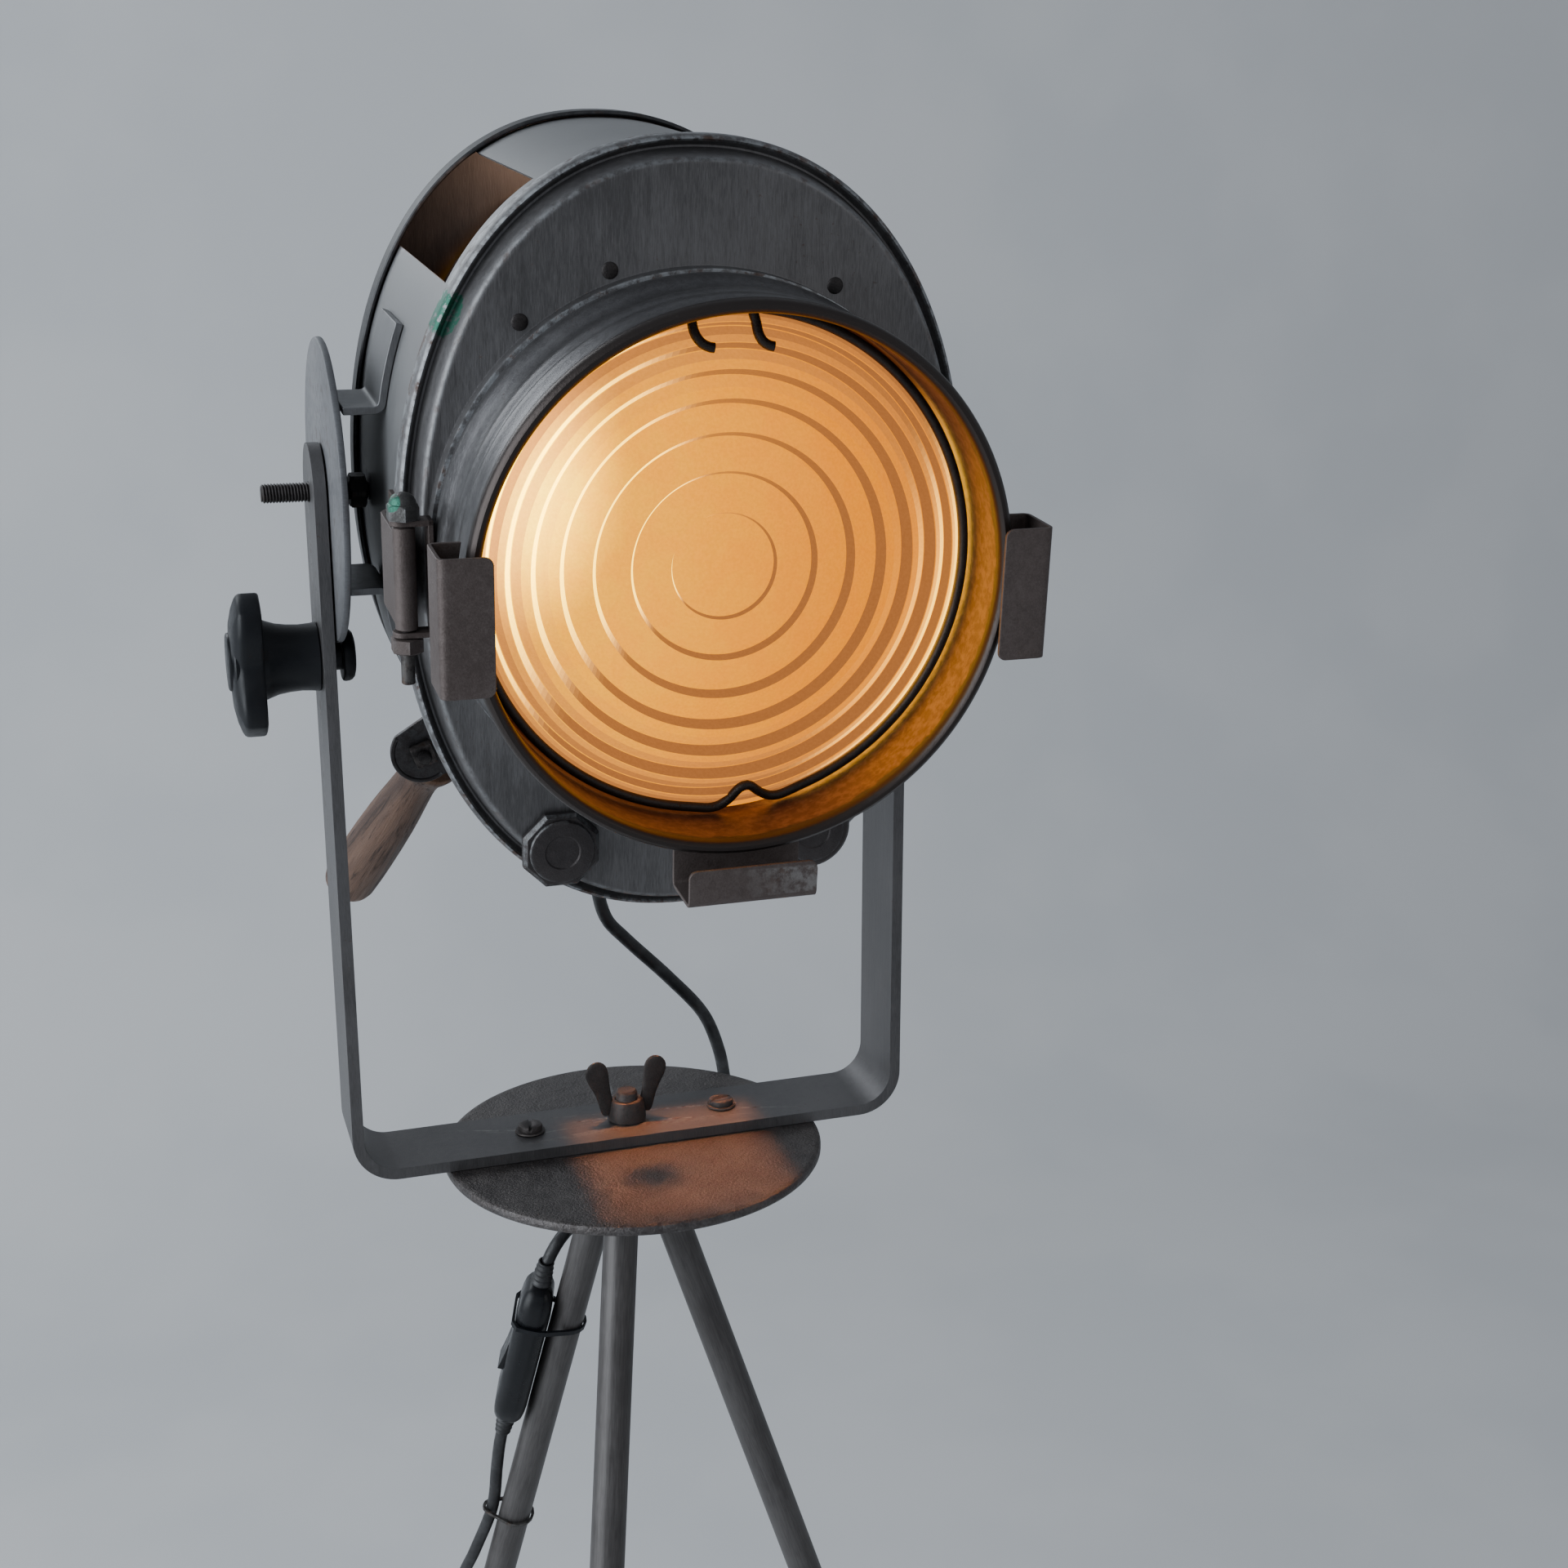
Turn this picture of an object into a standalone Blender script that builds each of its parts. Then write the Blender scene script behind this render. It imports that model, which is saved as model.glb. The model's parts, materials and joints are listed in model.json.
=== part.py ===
"""Fresnel spotlight on a tripod stand.

A lantern head with an oval steel housing, a hinged lens door with a beaded hood, a flat bar
yoke on a round plate, three tube legs and a mains cord with an in-line switch.
Metres, +Z up, the light faces -Y and the tilt axis lies along X.
The origin is on the floor, under the middle of the object's box.
"""
import math

import bmesh
import bpy
from mathutils import Matrix, Vector

# ---------------------------------------------------------------- driving dimensions
GAP = 0.0003                      # clearance between pieces that touch

AXIS_X, AXIS_Y = -0.06764, 0.01295  # the stand's upright axis
PLATE_TOP_Z = 0.950
PIVOT_Z = PLATE_TOP_Z + 0.3013    # tilt axis
HEAD_TILT = math.radians(5.5)     # the head looks slightly down

OVAL_POWER = 2.2                  # the housing's section is a squared-off ellipse
OVAL_CENTRE_Z = 0.0027            # all head heights are from the tilt axis
OVAL_STEPS = 48
ROUND_STEPS = 48
SHELL_WIDTH, SHELL_HEIGHT = 0.207, 0.286
SHELL_REAR, SHELL_FRONT = 0.030, -0.1126
SHEET = 0.0016
DOOR_WIDTH, DOOR_HEIGHT = 0.2188, 0.2948
COVER_WIDTH, COVER_HEIGHT = 0.2118, 0.2916

CATCH_X = 0.1165                  # the door's turn catch, beside its lip
LENS_Z = 0.0056
LENS_RADIUS = 0.0925
LENS_FACE = 0.1635                # distance of the lens' edge in front of the tilt axis
LENS_ZONES = (0.0330, 0.0580, 0.0775)
HOOD_FRONT = 0.1976

HINGE_X, HINGE_Y = -0.1098, -0.1413
CLIP_SPAN = 0.048
CLIP_BACK, CLIP_FRONT = -0.182, -0.205

YOKE_INNER = 0.1225               # arm's inner face from the middle
BAR_WIDTH, BAR_THICK = 0.040, 0.005
YOKE_BEND = 0.015
ROD_RADIUS = 0.004
ROD_HOLE = 0.0044
DISC_RADIUS, DISC_THICK = 0.062, 0.003
DISC_X = -0.1216                  # outer face
CLAMP_Z = -0.0685

PLATE_RADIUS, PLATE_THICK = 0.0863, 0.005
PLATE_OFFSET_Y = -0.011           # the plate sits off the stand's axis
STUD_RADIUS = 0.005
SCREW_X = 0.0455

LEG_RADIUS, LEG_WALL = 0.008, 0.0015
LEG_SPLAY = math.radians(18.1)
LEG_TURN = math.radians(25.3)     # the front leg's turn from -Y towards -X
LEG_TOP_DROP = 0.0172             # from the plate's top down to the legs' top ends
LEG_TOP_RADIUS = 0.0107
FOOT_RADIUS = 0.011
HUB_RADIUS, HUB_HEIGHT = 0.030, 0.025

CORD_RADIUS = 0.0031
GLAND_X, GLAND_Y = -0.005, 0.012
GLAND_TIP_Z = -0.172
SWITCH_LENGTH, SWITCH_DEPTH, SWITCH_THICK = 0.086, 0.026, 0.016
SWITCH_START = 0.0813             # along the leg, from its top end
SWITCH_OFFSET = 0.0168            # from the leg's axis
CORD_GAP = 0.0120                 # the cord's middle from the leg's axis, at a tie
WIRE_TIE_AT, LOW_TIE_AT = 0.233, 0.720
COIL_RADIUS = 0.0345              # middle of the turns
COIL_SIDE, COIL_LOW, COIL_TOP = 0.0130, 0.0018, 0.0208
COIL_OUTER = 0.0377               # middle of the outer turns
COIL_X, COIL_Y = -0.085, 0.105    # from the stand's axis

CARRIAGE_Y = -0.030
RAIL_X, RAIL_Z = 0.024, -0.112


# ---------------------------------------------------------------- mesh helpers
def make_object(name, mesh, material, parent=None, location=(0, 0, 0), rotation=(0, 0, 0)):
    thing = bpy.data.objects.new(name, mesh)
    bpy.context.scene.collection.objects.link(thing)
    thing.parent = parent
    thing.location = location
    thing.rotation_euler = rotation
    if material:
        mesh.materials.append(material)
    return thing


def empty(name, location, rotation=(0, 0, 0), parent=None):
    thing = bpy.data.objects.new(name, None)
    bpy.context.scene.collection.objects.link(thing)
    thing.parent = parent
    thing.location = location
    thing.rotation_euler = rotation
    return thing


def finish_mesh(name, bm, smooth=True):
    bmesh.ops.recalc_face_normals(bm, faces=bm.faces)
    mesh = bpy.data.meshes.new(name)
    bm.to_mesh(mesh)
    bm.free()
    if smooth:
        mesh.shade_smooth()
        mesh.set_sharp_from_angle(angle=math.radians(32))
    return mesh


def skin(name, rings, closed=False):
    """Faces between rings of points; a ring of one point is a pole, and open ends are capped."""
    bm = bmesh.new()
    loops = [[bm.verts.new(point) for point in ring] for ring in rings]
    pairs = list(zip(loops, loops[1:]))
    if closed:
        pairs.append((loops[-1], loops[0]))
    for low, high in pairs:
        count = max(len(low), len(high))
        for i in range(count):
            j = (i + 1) % count
            corners = [low[i % len(low)], low[j % len(low)], high[j % len(high)], high[i % len(high)]]
            unique = list(dict.fromkeys(corners))
            bm.faces.new(unique)
    if not closed:
        for loop in (loops[0], loops[-1]):
            if len(loop) > 1:
                bm.faces.new(loop)
    return finish_mesh(name, bm)


def turned(name, profile, steps=ROUND_STEPS, closed=False):
    """Turns (radius, height) points about Z."""
    rings = []
    for radius, height in profile:
        if radius == 0:
            rings.append([Vector((0, 0, height))])
            continue
        angles = [2 * math.pi * i / steps for i in range(steps)]
        rings.append([Vector((radius * math.cos(a), radius * math.sin(a), height)) for a in angles])
    return skin(name, rings, closed)


def oval_ring(width, height, inset, forward, steps=OVAL_STEPS):
    """A ring of the housing's oval, at a distance in front of the tilt axis."""
    half_w, half_h = width / 2 - inset, height / 2 - inset
    power = 2 / OVAL_POWER
    ring = []
    for i in range(steps):
        angle = 2 * math.pi * i / steps
        c, s = math.cos(angle), math.sin(angle)
        x = half_w * math.copysign(abs(c) ** power, c)
        z = half_h * math.copysign(abs(s) ** power, s)
        ring.append(Vector((x, -forward, OVAL_CENTRE_Z + z)))
    return ring


def lens_ring(radius, forward, steps=OVAL_STEPS):
    """A circle about the lens' axis, at a distance in front of the tilt axis."""
    angles = [2 * math.pi * i / steps for i in range(steps)]
    return [Vector((radius * math.cos(a), -forward, LENS_Z + radius * math.sin(a))) for a in angles]


def shell_bottom_z(x, clear=0.0):
    """The height of the shell's underside at a distance from the middle."""
    half_w, half_h = SHELL_WIDTH / 2 + clear, SHELL_HEIGHT / 2 + clear
    share = min(1.0, abs(x) / half_w)
    return OVAL_CENTRE_Z - half_h * (1 - share ** OVAL_POWER) ** (1 / OVAL_POWER)


def shell_surface_x(z, clear=0.0):
    """Half the shell's width at a height."""
    half_w, half_h = SHELL_WIDTH / 2 + clear, SHELL_HEIGHT / 2 + clear
    share = min(1.0, abs(z - OVAL_CENTRE_Z) / half_h)
    return half_w * (1 - share ** OVAL_POWER) ** (1 / OVAL_POWER)


def prism(name, outline, low, high, axis="Z"):
    """Extrudes an outline in the two other axes, in their X, Y, Z order."""
    def point(u, v, w):
        return {"X": Vector((w, u, v)), "Y": Vector((u, w, v)), "Z": Vector((u, v, w))}[axis]
    rings = [[point(u, v, level) for u, v in outline] for level in (low, high)]
    return skin(name, rings)


def arc(cx, cy, radius, start, end, steps):
    """Points of an arc, in degrees."""
    angles = [math.radians(start + (end - start) * i / steps) for i in range(steps + 1)]
    return [(cx + radius * math.cos(a), cy + radius * math.sin(a)) for a in angles]


def rounded_box_outline(width, height, radius, steps=4, cx=0.0, cy=0.0):
    w, h = width / 2 - radius, height / 2 - radius
    points = []
    for sx, sy, start in ((1, 1, 0), (-1, 1, 90), (-1, -1, 180), (1, -1, 270)):
        points += arc(cx + sx * w, cy + sy * h, radius, start, start + 90, steps)
    return points


def strip_outline(path, thickness):
    """The outline of a flat bar that follows a path of points."""
    half = thickness / 2
    left, right = [], []
    for i, (x, y) in enumerate(path):
        before = path[max(i - 1, 0)]
        after = path[min(i + 1, len(path) - 1)]
        first = Vector((x - before[0], y - before[1])) if i else Vector((after[0] - x, after[1] - y))
        second = Vector((after[0] - x, after[1] - y)) if i < len(path) - 1 else first
        first.normalize()
        second.normalize()
        middle = (first + second).normalized()
        normal = Vector((-middle.y, middle.x))
        reach = half / max(0.3, middle.dot(first))
        left.append((x + normal.x * reach, y + normal.y * reach))
        right.append((x - normal.x * reach, y - normal.y * reach))
    return left + right[::-1]


def hexagon(across_flats, turn=0.0):
    radius = across_flats / 2 / math.cos(math.pi / 6)
    angles = [math.radians(turn + 60 * i) for i in range(6)]
    return [(radius * math.cos(a), radius * math.sin(a)) for a in angles]


def cutter(name, mesh, parent=None, location=(0, 0, 0), rotation=(0, 0, 0)):
    tool = make_object(name, mesh, None, parent, location, rotation)
    tool.hide_render = True
    tool.display_type = "WIRE"
    return tool


def combine(thing, tool, operation="DIFFERENCE"):
    change = thing.modifiers.new(operation.title() + " " + tool.name, "BOOLEAN")
    change.operation = operation
    change.solver = "EXACT"
    change.object = tool
    return thing


def smooth_route(points, spacing):
    """Points read off a Catmull-Rom curve through a short list."""
    pts = [Vector(p) for p in points]
    pts = [2 * pts[0] - pts[1]] + pts + [2 * pts[-1] - pts[-2]]
    dense = []
    for a, b, c, d in zip(pts, pts[1:], pts[2:], pts[3:]):
        for i in range(40):
            t = i / 40
            dense.append(0.5 * (2 * b + (c - a) * t + (2 * a - 5 * b + 4 * c - d) * t * t
                                + (3 * b - a - 3 * c + d) * t ** 3))
    dense.append(pts[-2])
    total = sum((q - p).length for p, q in zip(dense, dense[1:]))
    step = total / max(1, round(total / spacing))
    route, run, goal = [dense[0]], 0.0, step
    for p, q in zip(dense, dense[1:]):
        length = (q - p).length
        while run + length >= goal - 1e-9 and goal < total - step / 2:
            route.append(p.lerp(q, (goal - run) / length))
            goal += step
        run += length
    route.append(dense[-1])
    return route


def tube(name, points, radius, material, parent=None, location=(0, 0, 0), resolution=2):
    curve = bpy.data.curves.new(name, "CURVE")
    curve.dimensions = "3D"
    spline = curve.splines.new("POLY")
    spline.points.add(len(points) - 1)
    for knot, point in zip(spline.points, points):
        knot.co = (*point, 1)
    curve.bevel_depth = radius
    curve.bevel_resolution = resolution
    curve.use_fill_caps = True
    curve.render_resolution_u = 0
    curve.materials.append(material)
    thing = bpy.data.objects.new(name, curve)
    bpy.context.scene.collection.objects.link(thing)
    thing.parent = parent
    thing.location = location
    return thing


# ---------------------------------------------------------------- materials
def material(name, colour, roughness, metallic=0.0, **extra):
    mat = bpy.data.materials.new(name)
    mat.use_nodes = True
    shader = mat.node_tree.nodes["Principled BSDF"]
    shader.inputs["Base Color"].default_value = (*colour, 1)
    shader.inputs["Roughness"].default_value = roughness
    shader.inputs["Metallic"].default_value = metallic
    for socket, value in extra.items():
        shader.inputs[socket].default_value = value
    mat.diffuse_color = (*colour, 1)
    return mat


def make_materials():
    return {
        "steel_sheet": material("steel_sheet", (0.24, 0.25, 0.27), 0.45, 1.0),
        "steel_bar": material("steel_bar", (0.20, 0.20, 0.21), 0.5, 1.0),
        "dark_steel": material("dark_steel", (0.07, 0.065, 0.065), 0.5, 0.9),
        "rusty_steel": material("rusty_steel", (0.16, 0.10, 0.075), 0.7, 0.6),
        "glass": material("glass", (0.95, 0.62, 0.30), 0.08),
        "bulb_glass": material("bulb_glass", (1.0, 0.86, 0.62), 0.2),
        "mirror": material("mirror", (0.85, 0.85, 0.86), 0.08, 1.0),
        "black_plastic": material("black_plastic", (0.025, 0.027, 0.03), 0.45),
        "black_rubber": material("black_rubber", (0.02, 0.02, 0.02), 0.7),
        "wood": material("wood", (0.20, 0.11, 0.07), 0.6),
        "ceramic": material("ceramic", (0.82, 0.79, 0.72), 0.35),
        "leg_steel": material("leg_steel", (0.17, 0.165, 0.16), 0.5, 0.9),
    }


# ---------------------------------------------------------------- head: housing
def rod_cutter(name, x_low, x_high, parent, z=0.0):
    mesh = turned(name, [(0, x_low), (ROD_HOLE, x_low), (ROD_HOLE, x_high), (0, x_high)], 16)
    return cutter(name, mesh, parent, (0, 0, z), (0, math.pi / 2, 0))


def make_housing(mats, head):
    rings = [oval_ring(SHELL_WIDTH, SHELL_HEIGHT, inset, forward) for inset, forward in (
        (0, -SHELL_REAR), (0, -SHELL_FRONT), (0.009, -SHELL_FRONT),
        (0.009, -SHELL_FRONT - SHEET), (SHEET, -SHELL_FRONT - SHEET), (SHEET, -SHELL_REAR))]
    shell = make_object("housing_shell", skin("housing_shell", rings, closed=True),
                        mats["steel_sheet"], head)
    for side in (-1, 1):
        outline = [(side * x, z) for x, z in ((0.036, 0.118), (0.064, 0.082), (0.096, 0.103), (0.066, 0.146))]
        window = cutter(f"vent_cutter_{side}", prism("vent", outline, -0.084, 0.040, "Y"), head)
        combine(shell, window)
    combine(shell, rod_cutter("shell_pivot_cutter", -0.12, 0.12, head))
    bottom = OVAL_CENTRE_Z - SHELL_HEIGHT / 2
    hole = turned("gland_hole", [(0, -0.01), (0.0066, -0.01), (0.0066, 0.012), (0, 0.012)], 24)
    combine(shell, cutter("gland_cutter", hole, head, (GLAND_X, GLAND_Y, bottom)))
    slot = prism("slot", rounded_box_outline(0.009, 0.062, 0.0044, 4, 0.0, CARRIAGE_Y),
                 bottom - 0.01, bottom + 0.012)
    combine(shell, cutter("slot_cutter", slot, head))

    rings = [oval_ring(COVER_WIDTH, COVER_HEIGHT, inset, forward) for inset, forward in (
        (0.070, -0.0342), (0.0018, -0.0342), (0.0018, -0.0240), (0, -0.0240), (0, -0.0348),
        (0.0014, -0.0362), (0.014, -0.0362), (0.017, -0.0392), (0.021, -0.0392),
        (0.024, -0.0362), (0.070, -0.0362))]
    cover = make_object("rear_cover", skin("rear_cover", rings), mats["dark_steel"], head)
    for i in range(5):
        z = OVAL_CENTRE_Z + 0.030 + 0.013 * i
        slit = prism("louvre", rounded_box_outline(0.058, 0.004, 0.0018, 2, 0.0, z), 0.02, 0.05, "Y")
        combine(cover, cutter(f"louvre_cutter_{i}", slit, head))

    fold = [(0.0950, 0.044), (0.083, 0.052), (0.060, 0.088), (0.034, 0.114)]
    baffle = strip_outline([(-x, z) for x, z in fold] + fold[::-1], 0.0012)
    make_object("vent_baffle", prism("vent_baffle", baffle, -0.100, 0.026, "Y"), mats["rusty_steel"], head)


def make_pivots(mats, head):
    disc = turned("quadrant_disc", [(ROD_HOLE, 0), (DISC_RADIUS, 0), (DISC_RADIUS, DISC_THICK),
                                    (ROD_HOLE, DISC_THICK)], 48, closed=True)
    make_object("quadrant_disc", disc, mats["steel_bar"], head, (DISC_X, 0, 0), (0, math.pi / 2, 0))
    outer = DISC_X + DISC_THICK + GAP
    bar = 0.003
    for name, start, end in (("disc_strap_upper", 0.041, 0.074), ("disc_strap_lower", -0.031, -0.062)):
        steps = 4
        levels = [start + (end - start) * i / steps for i in range(steps + 1)]
        clear = GAP + bar / 2
        leg = [(-shell_surface_x(z, clear), z) for z in levels]
        outline = strip_outline([(outer + 0.0008, start), leg[0]] + leg[1:], bar)
        make_object(name, prism(name, outline, -0.044, -0.006, "Y"), mats["steel_bar"], head)
    rod = turned("pivot_rod_left", [(0, 0), (0.0034, 0), (ROD_RADIUS, 0.0008), (ROD_RADIUS, 0.0535),
                                    (0, 0.0535)], 20)
    make_object("pivot_rod_left", rod, mats["dark_steel"], head, (-0.1466, 0, 0), (0, math.pi / 2, 0))
    inner_x = SHELL_WIDTH / 2 - SHEET - 2 * GAP
    nut = hexagon_nut("pivot_nut_left", 0.013, 0.0062, ROD_RADIUS + GAP)
    make_object("pivot_nut_left", nut, mats["dark_steel"], head,
                (-inner_x, 0, 0), (0, math.pi / 2, 0))
    arm_outer = YOKE_INNER + BAR_THICK
    bolt = turned("pivot_bolt_right", [(0, 0), (0.0062, 0), (0.0068, 0.0012), (0.0068, 0.0052),
                                       (ROD_RADIUS, 0.0052), (ROD_RADIUS, 0.036), (0, 0.036)], 20)
    make_object("pivot_bolt_right", bolt, mats["dark_steel"], head,
                (arm_outer + GAP + 0.0052, 0, 0), (0, -math.pi / 2, 0))
    length = YOKE_INNER - SHELL_WIDTH / 2 - 3 * GAP
    spacer = turned("pivot_spacer_right", [(ROD_HOLE, 0), (0.008, 0), (0.008, length), (ROD_HOLE, length)],
                    20, closed=True)
    make_object("pivot_spacer_right", spacer, mats["steel_bar"], head,
                (SHELL_WIDTH / 2 + 2 * GAP, 0, 0), (0, math.pi / 2, 0))


def hexagon_nut(name, across, thick, bore):
    """A hexagon nut along Z, from 0 to its thickness, with a round bore."""
    steps = 24
    radius = across / 2
    outer, inner = [], []
    for i in range(steps):
        angle = 2 * math.pi * i / steps
        reach = radius / math.cos((angle + math.pi / 6) % (math.pi / 3) - math.pi / 6)
        outer.append((reach * math.cos(angle), reach * math.sin(angle)))
        inner.append((bore * math.cos(angle), bore * math.sin(angle)))
    rings = [[Vector((x, y, z)) for x, y in shape] for shape, z in (
        (outer, 0), (outer, thick), (inner, thick), (inner, 0))]
    return skin(name, rings, closed=True)


def make_handle(mats, head):
    tab = [(-0.0762, -0.1020), (-0.0725, -0.1065), (-0.0655, -0.1145), (-0.0577, -0.1215),
           (-0.0620, -0.1290)]
    for step in range(9):
        angle = math.radians(-55 - 20 * step)
        tab.append((-0.0827 + 0.0140 * math.cos(angle), -0.1215 + 0.0140 * math.sin(angle)))
    make_object("handle_bracket", prism("handle_bracket", tab, 0.0125, 0.0155, "Y"), mats["steel_bar"], head)
    start = Vector((-0.0757, 0.0300, -0.1300))
    end = Vector((-0.1092, 0.1000, -0.2195))
    along = (end - start).to_track_quat("Z", "Y").to_euler()
    length = (end - start).length
    grip = turned("wooden_handle", [(0, 0), (0.0125, 0), (0.0140, 0.0020), (0.0130, 0.0060),
                                    (0.0098, 0.0140), (0.0094, 0.0240), (0.0106, 0.0520),
                                    (0.0114, 0.0860), (0.0112, length - 0.008),
                                    (0.0085, length - 0.002), (0, length)], 20)
    grip = make_object("wooden_handle", grip, mats["wood"], head, start, along)
    cheek = prism("cheek", [(-0.13, -0.16), (-0.05, -0.16), (-0.05, -0.08), (-0.13, -0.08)],
                  -0.02, 0.0155 + GAP, "Y")
    combine(grip, cutter("cheek", cheek, head))
    bolt = turned("handle_bolt", [(0, 0), (0.0062, 0), (0.0062, 0.0050), (0.0030, 0.0050),
                                  (0.0030, 0.0085), (0, 0.0085)], 4)
    make_object("handle_bolt", bolt, mats["rusty_steel"], head,
                (-0.0827, 0.0125 - GAP, -0.1215), (math.pi / 2, 0, 0))


def make_hinge_barrel(mats, head):
    leaf = strip_outline([(HINGE_X - 0.0030, HINGE_Y + 0.001), (HINGE_X - 0.0030, -0.112),
                          (-0.1050, -0.100), (-0.1050, -0.078)], 0.0018)
    barrel = make_object("hinge_barrel", prism("hinge_barrel", leaf, -0.016, 0.018),
                         mats["steel_sheet"], head)
    knuckle = turned("barrel", [(0, -0.0177), (0.0040, -0.0177), (0.0040, 0.0197), (0, 0.0197)], 20)
    combine(barrel, cutter("barrel_tool", knuckle, head, (HINGE_X, HINGE_Y, 0)), "UNION")
    bore = turned("bore", [(0, -0.03), (0.0029, -0.03), (0.0029, 0.03), (0, 0.03)], 16)
    combine(barrel, cutter("barrel_bore", bore, head, (HINGE_X, HINGE_Y, 0)))


def make_gland(mats, head):
    bottom = OVAL_CENTRE_Z - SHELL_HEIGHT / 2
    top = bottom + SHEET + 4 * GAP
    profile = [(0, top + 0.006), (0.0065, top + 0.006), (0.0092, top + 0.004), (0.0092, top),
               (0.0061, top), (0.0061, bottom - GAP), (0.0092, bottom - GAP), (0.0092, bottom - 0.006),
               (0.0072, bottom - 0.008), (0.0042, GLAND_TIP_Z), (0, GLAND_TIP_Z)]
    make_object("cable_gland", turned("cable_gland", profile, 20), mats["black_rubber"], head,
                (GLAND_X, GLAND_Y, 0))


def make_catch(mats, head, catch):
    post = strip_outline([(0.1050, -0.078), (0.1050, -0.100), (CATCH_X, -0.112), (CATCH_X, -0.1222)], 0.0018)
    make_object("catch_post", prism("catch_post", post, -0.0035, 0.0085), mats["steel_sheet"], head)
    tab = [(-0.0042, 0.0042), (0.0042, 0.0042), (0.0034, -0.0105), (-0.0034, -0.0105)]
    button = make_object("turn_catch", prism("turn_catch", tab, -0.0020, 0.0, "Y"), mats["steel_bar"], catch)
    screw = turned("catch_screw", [(0, 0.001), (0.0032, 0.001), (0.0032, 0.0040), (0, 0.0040)], 12)
    combine(button, cutter("catch_screw_tool", screw, catch, (0, 0, 0), (math.pi / 2, 0, 0)), "UNION")


# ---------------------------------------------------------------- head: lamp carriage
def make_rails(mats, head):
    clear = -SHEET - 2 * GAP
    foot = [(x, shell_bottom_z(x, clear)) for x in (0.034, 0.017, 0.0, -0.017, -0.034)]
    outline = foot + [(-0.034, -0.1040), (0.034, -0.1040)]
    rails = make_object("rail_frame", prism("rail_frame", outline, -0.096, -0.094, "Y"),
                        mats["steel_bar"], head)
    rear = prism("rail_rear", outline, 0.024, 0.026, "Y")
    combine(rails, cutter("rail_rear_tool", rear, head), "UNION")
    for side in (-1, 1):
        rod = turned("rail", [(0, 0), (ROD_RADIUS, 0), (ROD_RADIUS, 0.121), (0, 0.121)], 16)
        tool = cutter(f"rail_tool_{side}", rod, head, (side * RAIL_X, 0.0255, RAIL_Z), (math.pi / 2, 0, 0))
        combine(rails, tool, "UNION")


def make_carriage(mats, carriage):
    outline = rounded_box_outline(0.066, 0.046, 0.003, 2, 0.0, 0.004)
    block = make_object("lamp_carriage", prism("lamp_carriage", outline, -0.119, -0.105),
                        mats["steel_bar"], carriage)
    for side in (-1, 1):
        bore = turned("bore", [(0, -0.05), (ROD_HOLE, -0.05), (ROD_HOLE, 0.05), (0, 0.05)], 16)
        combine(block, cutter(f"rail_bore_{side}", bore, carriage, (side * RAIL_X, 0, RAIL_Z),
                              (math.pi / 2, 0, 0)))

    low = -0.105 + GAP
    holder = [(0, low), (0.0165, low), (0.0165, -0.062), (0.0145, -0.062), (0.0145, -0.084), (0, -0.084)]
    make_object("lamp_holder", turned("lamp_holder", holder, 24), mats["ceramic"], carriage)

    centre, radius = -0.004, 0.030
    bulb = [(0, -0.083), (0.006, -0.083), (0.013, -0.079), (0.013, -0.056), (0.0155, -0.045)]
    for degrees in range(-55, 90, 18):
        angle = math.radians(degrees)
        bulb.append((radius * math.cos(angle), centre + radius * math.sin(angle)))
    bulb.append((0, centre + radius))
    make_object("bulb", turned("bulb", bulb, 24), mats["bulb_glass"], carriage)

    bowl, wall = 0.060, 0.0012
    angles = [math.radians(11.5 * i) for i in range(5)]
    outer = [(bowl * math.sin(a), bowl * math.cos(a)) for a in angles]
    inner = [((bowl - wall) * math.sin(a), (bowl - wall) * math.cos(a)) for a in angles]
    reflector = make_object("reflector", turned("reflector", outer + inner[::-1], 28), mats["mirror"],
                            carriage, (0, -0.018, centre), (-math.pi / 2, 0, 0))
    bracket = [(0.0172, low), (0.026, low), (0.026, -0.0445), (0.0225, -0.0445), (0.0225, low + 0.0025),
               (0.0172, low + 0.0025)]
    combine(reflector, cutter("reflector_stay", prism("stay", bracket, -0.006, 0.006, "X"), carriage), "UNION")


def make_focus_knob(mats, focus):
    profile = [(0, 0), (0.0030, 0), (0.0030, -0.0235), (0.0072, -0.0235), (0.0115, -0.0265),
               (0.0115, -0.0385), (0.0095, -0.0405), (0, -0.0405)]
    make_object("focus_knob", turned("focus_knob", profile, 20), mats["black_plastic"], focus)


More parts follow.
